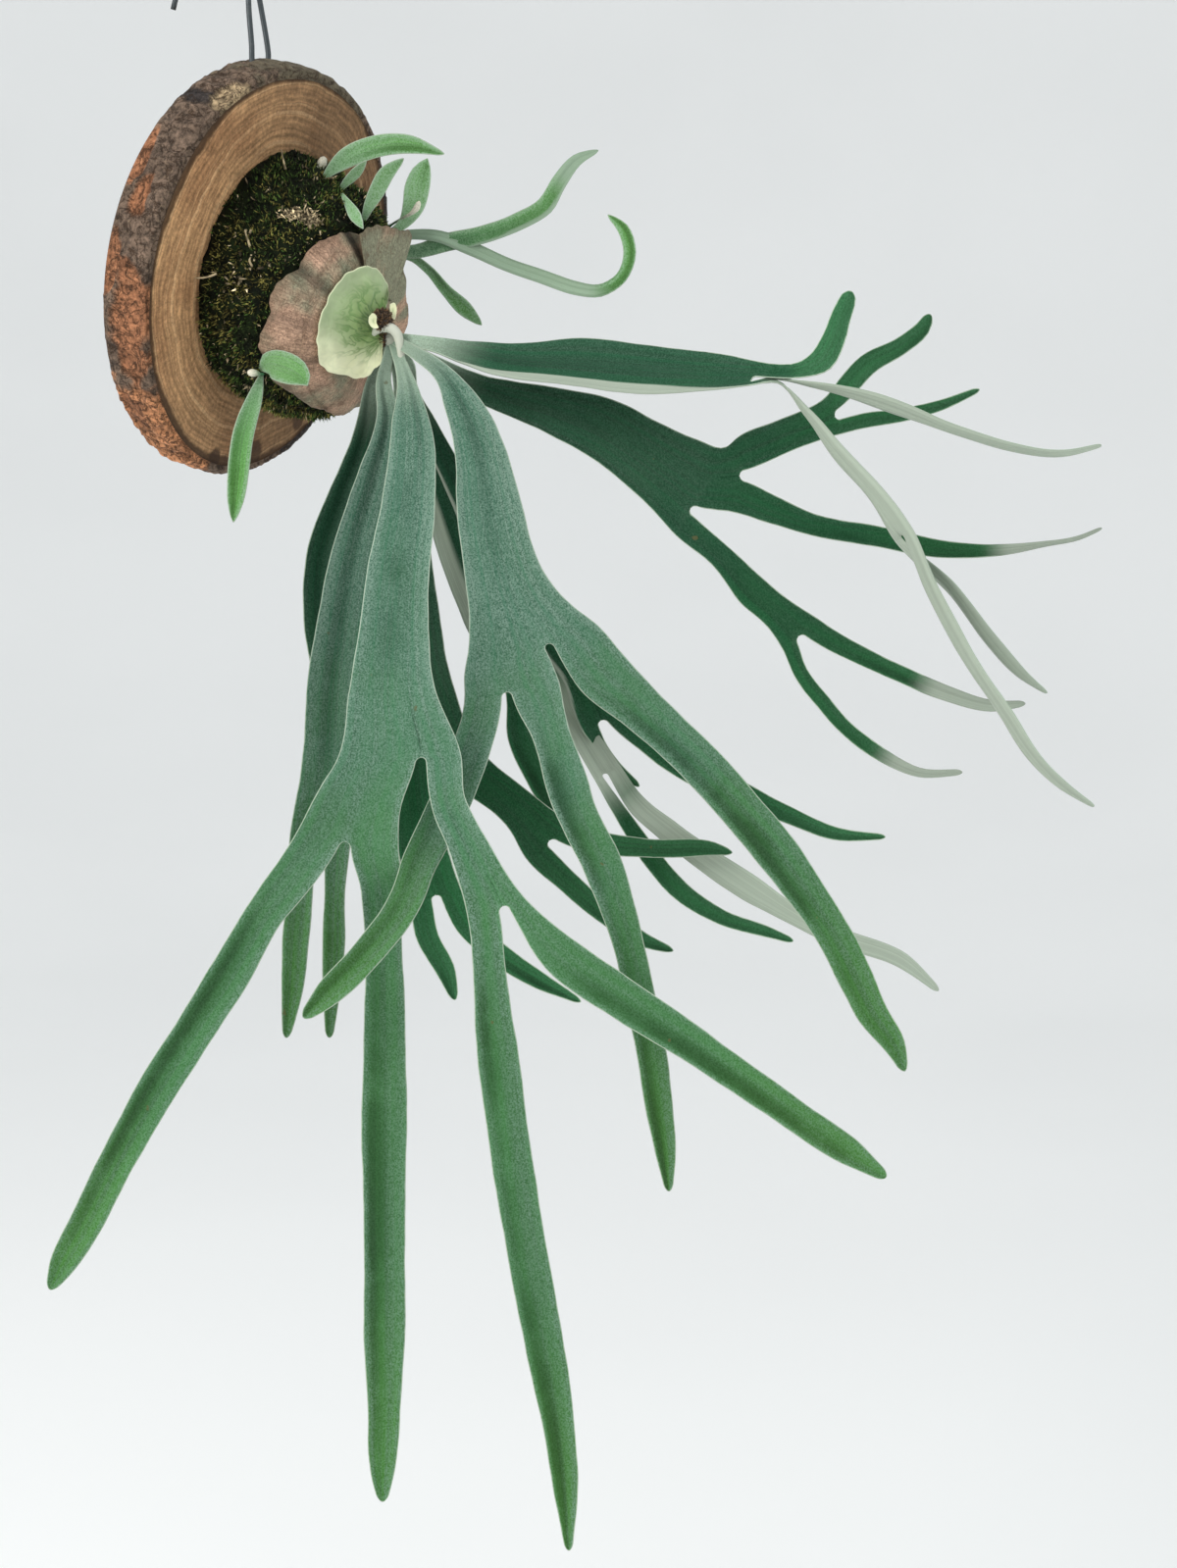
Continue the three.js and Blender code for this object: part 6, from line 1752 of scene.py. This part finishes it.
class StaghornSettings(bpy.types.PropertyGroup):
    """Sizes and colours of the mounted fern."""

    blade_thickness: length_setting("Blade thickness", 0.0011, "Thickness of a frond's lobes")
    blade_row_step: length_setting("Blade row step", 0.0034, "Distance of a blade's mesh rows")
    felt_colour: colour_setting("Felt", (0.185, 0.29, 0.225), "Pale scurf on the upper side")
    underside_colour: colour_setting(
        "Underside", (0.3, 0.345, 0.28), "Felted underside of the fronds")
    # The frond base green is partly darkened as painted shade near the crown
    frond_base_colour: colour_setting(
        "Frond base", (0.028, 0.108, 0.062), "Blue-green near the crown")
    frond_colour: colour_setting("Frond lobes", (0.034, 0.132, 0.034), "Green of the lobes")
    frond_tip_colour: colour_setting("Frond tips", (0.045, 0.165, 0.02), "Green at the tips")
    dark_base_colour: colour_setting(
        "Back frond base", (0.004, 0.042, 0.017), "Base of the fronds behind")
    dark_frond_colour: colour_setting("Back fronds", (0.006, 0.066, 0.018), "The fronds behind")
    dark_tip_colour: colour_setting("Back frond tips", (0.022, 0.1, 0.036), "Tips behind")
    young_colour: colour_setting("Young leaves", (0.08, 0.25, 0.05), "Bright young leaves")
    young_base_colour: colour_setting(
        "Young leaf base", (0.05, 0.17, 0.07), "Young leaves near the moss")
    young_tip_colour: colour_setting("Young leaf tips", (0.1, 0.29, 0.05), "Young leaf tips")
    young_felt_colour: colour_setting("Young felt", (0.27, 0.44, 0.26), "Felt of young leaves")
    young_under_colour: colour_setting(
        "Young underside", (0.31, 0.42, 0.3), "Underside of young leaves")
    margin_colour: colour_setting("Margin", (0.5, 0.58, 0.46), "Whitish line along each blade")
    bud_colour: colour_setting("Buds", (0.72, 0.68, 0.55), "Cream felt of the unopened leaves")
    spot_colour: colour_setting("Spots", (0.12, 0.1, 0.04), "Small brown spots")

    wood_colour: colour_setting("Wood", (0.36, 0.205, 0.098), "Sawn wood between the rings")
    ring_colour: colour_setting("Rings", (0.56, 0.36, 0.19), "Pale lines of the growth rings")
    stain_colour: colour_setting("Stain", (0.24, 0.12, 0.055), "Darker patches in the wood")
    pore_colour: colour_setting("Pores", (0.05, 0.025, 0.012), "Pores and the line at the bark")
    bark_colour: colour_setting("Bark", (0.125, 0.085, 0.06), "Rough grey-brown bark")
    bark_cap_colour: colour_setting("Smooth bark", (0.14, 0.114, 0.074), "The smooth top bark")
    bark_worn_colour: colour_setting("Worn bark", (0.27, 0.115, 0.055), "Orange worn patches")
    bark_red_colour: colour_setting("Red bark", (0.42, 0.185, 0.085), "Reddish lower bark")
    bark_dark_colour: colour_setting("Dark bark", (0.03, 0.024, 0.022), "Charcoal bark")
    bark_torn_colour: colour_setting("Torn bark", (0.33, 0.24, 0.14), "Pale torn fibres")
    bark_relief: length_setting("Bark relief", 0.0014, "Depth of the bark's fissures")

    wire_diameter: length_setting("Wire", 0.0028, "Diameter of the hanger wire")
    wire_colour: colour_setting("Wire coat", (0.045, 0.055, 0.06), "Dark coat of the wire")
    dust_colour: colour_setting("Wire dust", (0.2, 0.21, 0.2), "Dust on the wire")

    sprig_count: IntProperty(
        name="Moss sprigs", description="How many sprigs of moss", default=11000, min=0)
    sprig_length: length_setting("Sprig length", 0.0036, "Length of a moss sprig")
    moss_dark: colour_setting("Dark moss", (0.018, 0.018, 0.009), "Shaded moss")
    moss_green: colour_setting("Green moss", (0.045, 0.085, 0.018), "Fresh moss")
    moss_olive: colour_setting("Olive moss", (0.15, 0.13, 0.036), "Older moss")
    moss_rust: colour_setting("Rusty moss", (0.09, 0.035, 0.018), "Dying moss")
    straw_colour: colour_setting("Straw", (0.55, 0.44, 0.27), "Dry stalks in the moss")

    shield_thickness: length_setting("Shield thickness", 0.0012, "Thickness of the shields")
    vein_height: length_setting("Vein height", 0.00035, "Height of the fresh shield's veins")
    dry_shield_colour: colour_setting("Dry shield", (0.48, 0.3, 0.205), "Papery old shield")
    shield_bloom_colour: colour_setting(
        "Shield bloom", (0.235, 0.235, 0.155), "Grey-green bloom on the old shield")
    dry_rim_colour: colour_setting("Shield rim", (0.12, 0.07, 0.04), "Browned rim and specks")
    fresh_colour: colour_setting("Fresh shield", (0.38, 0.46, 0.26), "Outer fresh shield")
    fresh_base_colour: colour_setting("Fresh base", (0.29, 0.43, 0.15), "Near the bud")
    # The cream of the rim and the low half; on the low half it is partly painted light
    fresh_cream_and_light_colour: colour_setting("Fresh rim", (0.86, 0.86, 0.58), "Cream rim and low half")
    fresh_vein_colour: colour_setting("Fresh veins", (0.13, 0.26, 0.07), "Veins of the shield")
    stalk_colour: colour_setting("Stalk felt", (0.56, 0.57, 0.48), "Felt where the stalks leave")
    rhizome_colour: colour_setting("Rhizome", (0.07, 0.035, 0.015), "Dark scales of the bud")
    scale_colour: colour_setting("Scales", (0.3, 0.17, 0.07), "Light scales of the bud")

    floor_colour: colour_setting("Floor", (0.95, 0.95, 0.945), "The pale studio floor")
    floor_drop: length_setting("Floor drop", 0.25, "Air under the lowest frond")
    air_colour: colour_setting("Room light", (0.95, 0.985, 1.0), "Colour of the soft room light")
    air_light: amount_setting("Room light strength", 0.78, "Strength of the room light")
    key_power: amount_setting("Key light", 24, "Power of the key light in watts")
    fill_power: amount_setting("Fill light", 9, "Power of the fill light in watts")


MOSS_SEED, CROWN_SEED, FROND_SEED, YOUNG_SEED = 41, 7, 100, 200


class STAGHORN_OT_slice(bpy.types.Operator):
    """Build the live-edge log slice"""

    bl_idname = "staghorn.slice"
    bl_label = "Log slice"

    def execute(self, context):
        sizes = context.scene.staghorn
        skin = Skin("grain", "tint_and_shade")
        add_slice(skin, sizes)
        skin.piece("slice", slice_finish(sizes), "wood", "log_slice")
        return {"FINISHED"}


class STAGHORN_OT_wire(bpy.types.Operator):
    """Build the hook and the brace of the hanger"""

    bl_idname = "staghorn.wire"
    bl_label = "Wire hanger"

    def execute(self, context):
        sizes = context.scene.staghorn
        finish = wire_finish(sizes)
        diameter = sizes.wire_diameter / MM
        for name, path in (("hook", hook_path(diameter)), ("brace", brace_path(diameter))):
            skin = Skin("sprig")
            add_tube(skin, path, np.full(len(path), diameter), 20, (0, 0, 0))
            skin.piece(name, finish, "wire", "wire_" + name)
        return {"FINISHED"}


class STAGHORN_OT_moss(bpy.types.Operator):
    """Build the moss bed, its sprigs and the straw in it"""

    bl_idname = "staghorn.moss"
    bl_label = "Moss"

    def execute(self, context):
        sizes = context.scene.staghorn
        finish = moss_finish(sizes)
        rng = np.random.default_rng(MOSS_SEED)
        bed = Skin("sprig")
        add_moss_bed(bed)
        bed.piece("moss_bed", finish, "moss", "moss_mound")
        sprigs = Skin("sprig")
        add_moss_sprigs(sprigs, sizes.sprig_count, sizes.sprig_length / MM, rng)
        sprigs.piece("moss_sprigs", finish, "moss")
        straw = Skin("sprig")
        add_straw(straw, rng)
        straw.piece("moss_straw", finish, "moss")
        return {"FINISHED"}


class STAGHORN_OT_shields(bpy.types.Operator):
    """Build the two dry shields and the fresh one"""

    bl_idname = "staghorn.shields"
    bl_label = "Shields"

    def execute(self, context):
        sizes = context.scene.staghorn
        thick = sizes.shield_thickness / MM
        dry = dry_shield_finish(sizes)
        old, upper, fresh = Skin("sheet"), Skin("sheet"), Skin("sheet")
        add_old_shield(old, thick)
        old.piece("dry_shield", dry, "dry_shield", "shield_old")
        add_upper_shield(upper, thick)
        upper.piece("dry_shield_upper", dry, "dry_shield", "shield_old_upper")
        add_fresh_shield(fresh, thick)
        fresh.piece("green_shield", fresh_shield_finish(sizes), "green_shield", "shield_fresh")
        return {"FINISHED"}


class STAGHORN_OT_crown(bpy.types.Operator):
    """Build the rhizome and its scaly growing bud"""

    bl_idname = "staghorn.crown"
    bl_label = "Rhizome and bud"

    def execute(self, context):
        sizes = context.scene.staghorn
        finish = scale_finish(sizes)
        rng = np.random.default_rng(CROWN_SEED)
        rhizome = Skin("sprig")
        radii = np.full(3, RHIZOME_RADIUS)
        add_knob(rhizome, CROWN, radii, (1.9, 0.4, 0.5))
        add_scales(rhizome, CROWN, radii, 0.4 * SHEET_UP, *RHIZOME_SCALES, rng, -FACE_OUT)
        add_club(rhizome, STALK_BASE, (1.9, 0.55, 0.6))
        rhizome.piece("rhizome", finish, "rhizome", "rhizome_crown")
        bud = Skin("sprig")
        middle = place(*BUD_PLACE)
        add_knob(bud, middle, BUD_HALF, (0.2, 0.3, 0.2))
        add_scales(bud, middle, BUD_HALF, 0.4 * unit(middle - CROWN), *BUD_SCALES, rng)
        bud.piece("bud_scales", finish, "rhizome", "growing_bud")
        collar = Skin("sheet")
        for flap in COLLAR_FLAPS:
            add_collar_flap(collar, *flap)
        collar.piece("bud_collar", fresh_shield_finish(sizes), "green_shield")
        return {"FINISHED"}


# Tone of each frond, partly its own and partly painted light and shade for how brightly it stands
# in the light, and whether it wears the dark green of the fronds behind
FROND_TONE_AND_LIGHT = {
    "frond_front_centre": (1.0, False), "frond_front_right": (0.93, False),
    "frond_left_front": (0.88, False), "frond_left_back": (0.9, True),
    "frond_middle_back": (1.0, True), "frond_hanging_back": (1.4, True),
    "frond_right_low": (1.2, True), "frond_right_pale": (1.35, True),
    "frond_outer_top": (1.25, True), "frond_outer_low": (1.0, True),
}


class STAGHORN_OT_fronds(bpy.types.Operator):
    """Build the ten antler fronds"""

    bl_idname = "staghorn.fronds"
    bl_label = "Fronds"

    def execute(self, context):
        sizes = context.scene.staghorn
        front = blade_finish(
            "frond_felted", sizes,
            (sizes.frond_base_colour, sizes.frond_colour, sizes.frond_tip_colour),
            sizes.felt_colour, sizes.underside_colour, cover=(0.48, 0.2))
        back = blade_finish(
            "frond_dark", sizes,
            (sizes.dark_base_colour, sizes.dark_frond_colour, sizes.dark_tip_colour),
            sizes.felt_colour, sizes.underside_colour, cover=(0.06, 0.03))
        for seed, (node, strip) in enumerate(FRONDS.items()):
            tone_and_painted_light, is_dark = FROND_TONE_AND_LIGHT[node]
            finish, slot = (back, "dark_frond") if is_dark else (front, "frond")
            skin = Skin("along", "across", "groove_shade")
            add_frond(skin, strip, sizes, tone_and_painted_light, np.random.default_rng(FROND_SEED + seed))
            skin.piece(node + "_blade", finish, slot, node)
        return {"FINISHED"}


# Tone of a young leaf, partly its own and partly painted light and shade, and how far
# mint-coloured felt covers it
YOUNG_LOOKS = {
    "pup_slim": (0.8, 0.3), "pup_small_top": (0.8, 0.2), "pup_oval": (1.05, 0.4),
    "pup_left_oval": (0.85, 0.05), "pup_broad": (0.9, 0.2), "strap_upper": (0.9, 0.15),
    "strap_curled": (1.0, 0.05), "strap_lower": (0.95, 0.3), "pup_small_low": (1.0, 0.15),
    "pup_left_strap": (0.95, 0.0),
}


class STAGHORN_OT_young_leaves(bpy.types.Operator):
    """Build the straps, young leaves and unopened buds in the moss"""

    bl_idname = "staghorn.young_leaves"
    bl_label = "Young leaves"

    def execute(self, context):
        sizes = context.scene.staghorn
        finish = blade_finish(
            "young_leaf", sizes,
            (sizes.young_base_colour, sizes.young_colour, sizes.young_tip_colour),
            sizes.young_felt_colour, sizes.young_under_colour, cover=(0.12, 0.08), halo=0.36,
            foot=0.25)
        for seed, (node, strip) in enumerate(YOUNG_LEAVES.items()):
            skin = Skin("along", "across", "groove_shade")
            rng = np.random.default_rng(YOUNG_SEED + seed)
            add_young_leaf(skin, strip, sizes, *YOUNG_LOOKS[node], rng)
            skin.piece(node + "_blade", finish, "young_leaf", node)
        felted = bud_finish(sizes)
        for node, stations in MOSS_BUDS.items():
            skin = Skin("along")
            add_club(skin, stations)
            skin.piece(node + "_club", felted, "young_leaf", node)
        return {"FINISHED"}


class STAGHORN_OT_stage(bpy.types.Operator):
    """Build the pale floor, the soft lights and the camera"""

    bl_idname = "staghorn.stage"
    bl_label = "Floor, light and camera"

    def execute(self, context):
        sizes = context.scene.staghorn
        context.scene.view_settings.view_transform = "Standard"
        add_stage(sizes)
        add_lights(sizes)
        add_camera()
        return {"FINISHED"}


class STAGHORN_PT_panel(bpy.types.Panel):
    """Lists the pieces of the mounted fern"""

    bl_label = "Mounted staghorn fern"
    bl_space_type = "VIEW_3D"
    bl_region_type = "UI"
    bl_category = "Staghorn"

    def draw(self, context):
        for operator in OPERATORS:
            self.layout.operator(operator.bl_idname)


OPERATORS = (
    STAGHORN_OT_stage, STAGHORN_OT_slice, STAGHORN_OT_wire, STAGHORN_OT_moss,
    STAGHORN_OT_shields, STAGHORN_OT_crown, STAGHORN_OT_fronds, STAGHORN_OT_young_leaves,
)
CLASSES = (StaghornSettings, *OPERATORS, STAGHORN_PT_panel)


def register():
    for each in CLASSES:
        bpy.utils.register_class(each)
    bpy.types.Scene.staghorn = PointerProperty(type=StaghornSettings)


def unregister():
    del bpy.types.Scene.staghorn
    for each in reversed(CLASSES):
        bpy.utils.unregister_class(each)


def main():
    register()
    bpy.ops.staghorn.stage()
    bpy.ops.staghorn.slice()
    bpy.ops.staghorn.wire()
    bpy.ops.staghorn.moss()
    bpy.ops.staghorn.shields()
    bpy.ops.staghorn.crown()
    bpy.ops.staghorn.fronds()
    bpy.ops.staghorn.young_leaves()


if __name__ == "__main__":
    main()
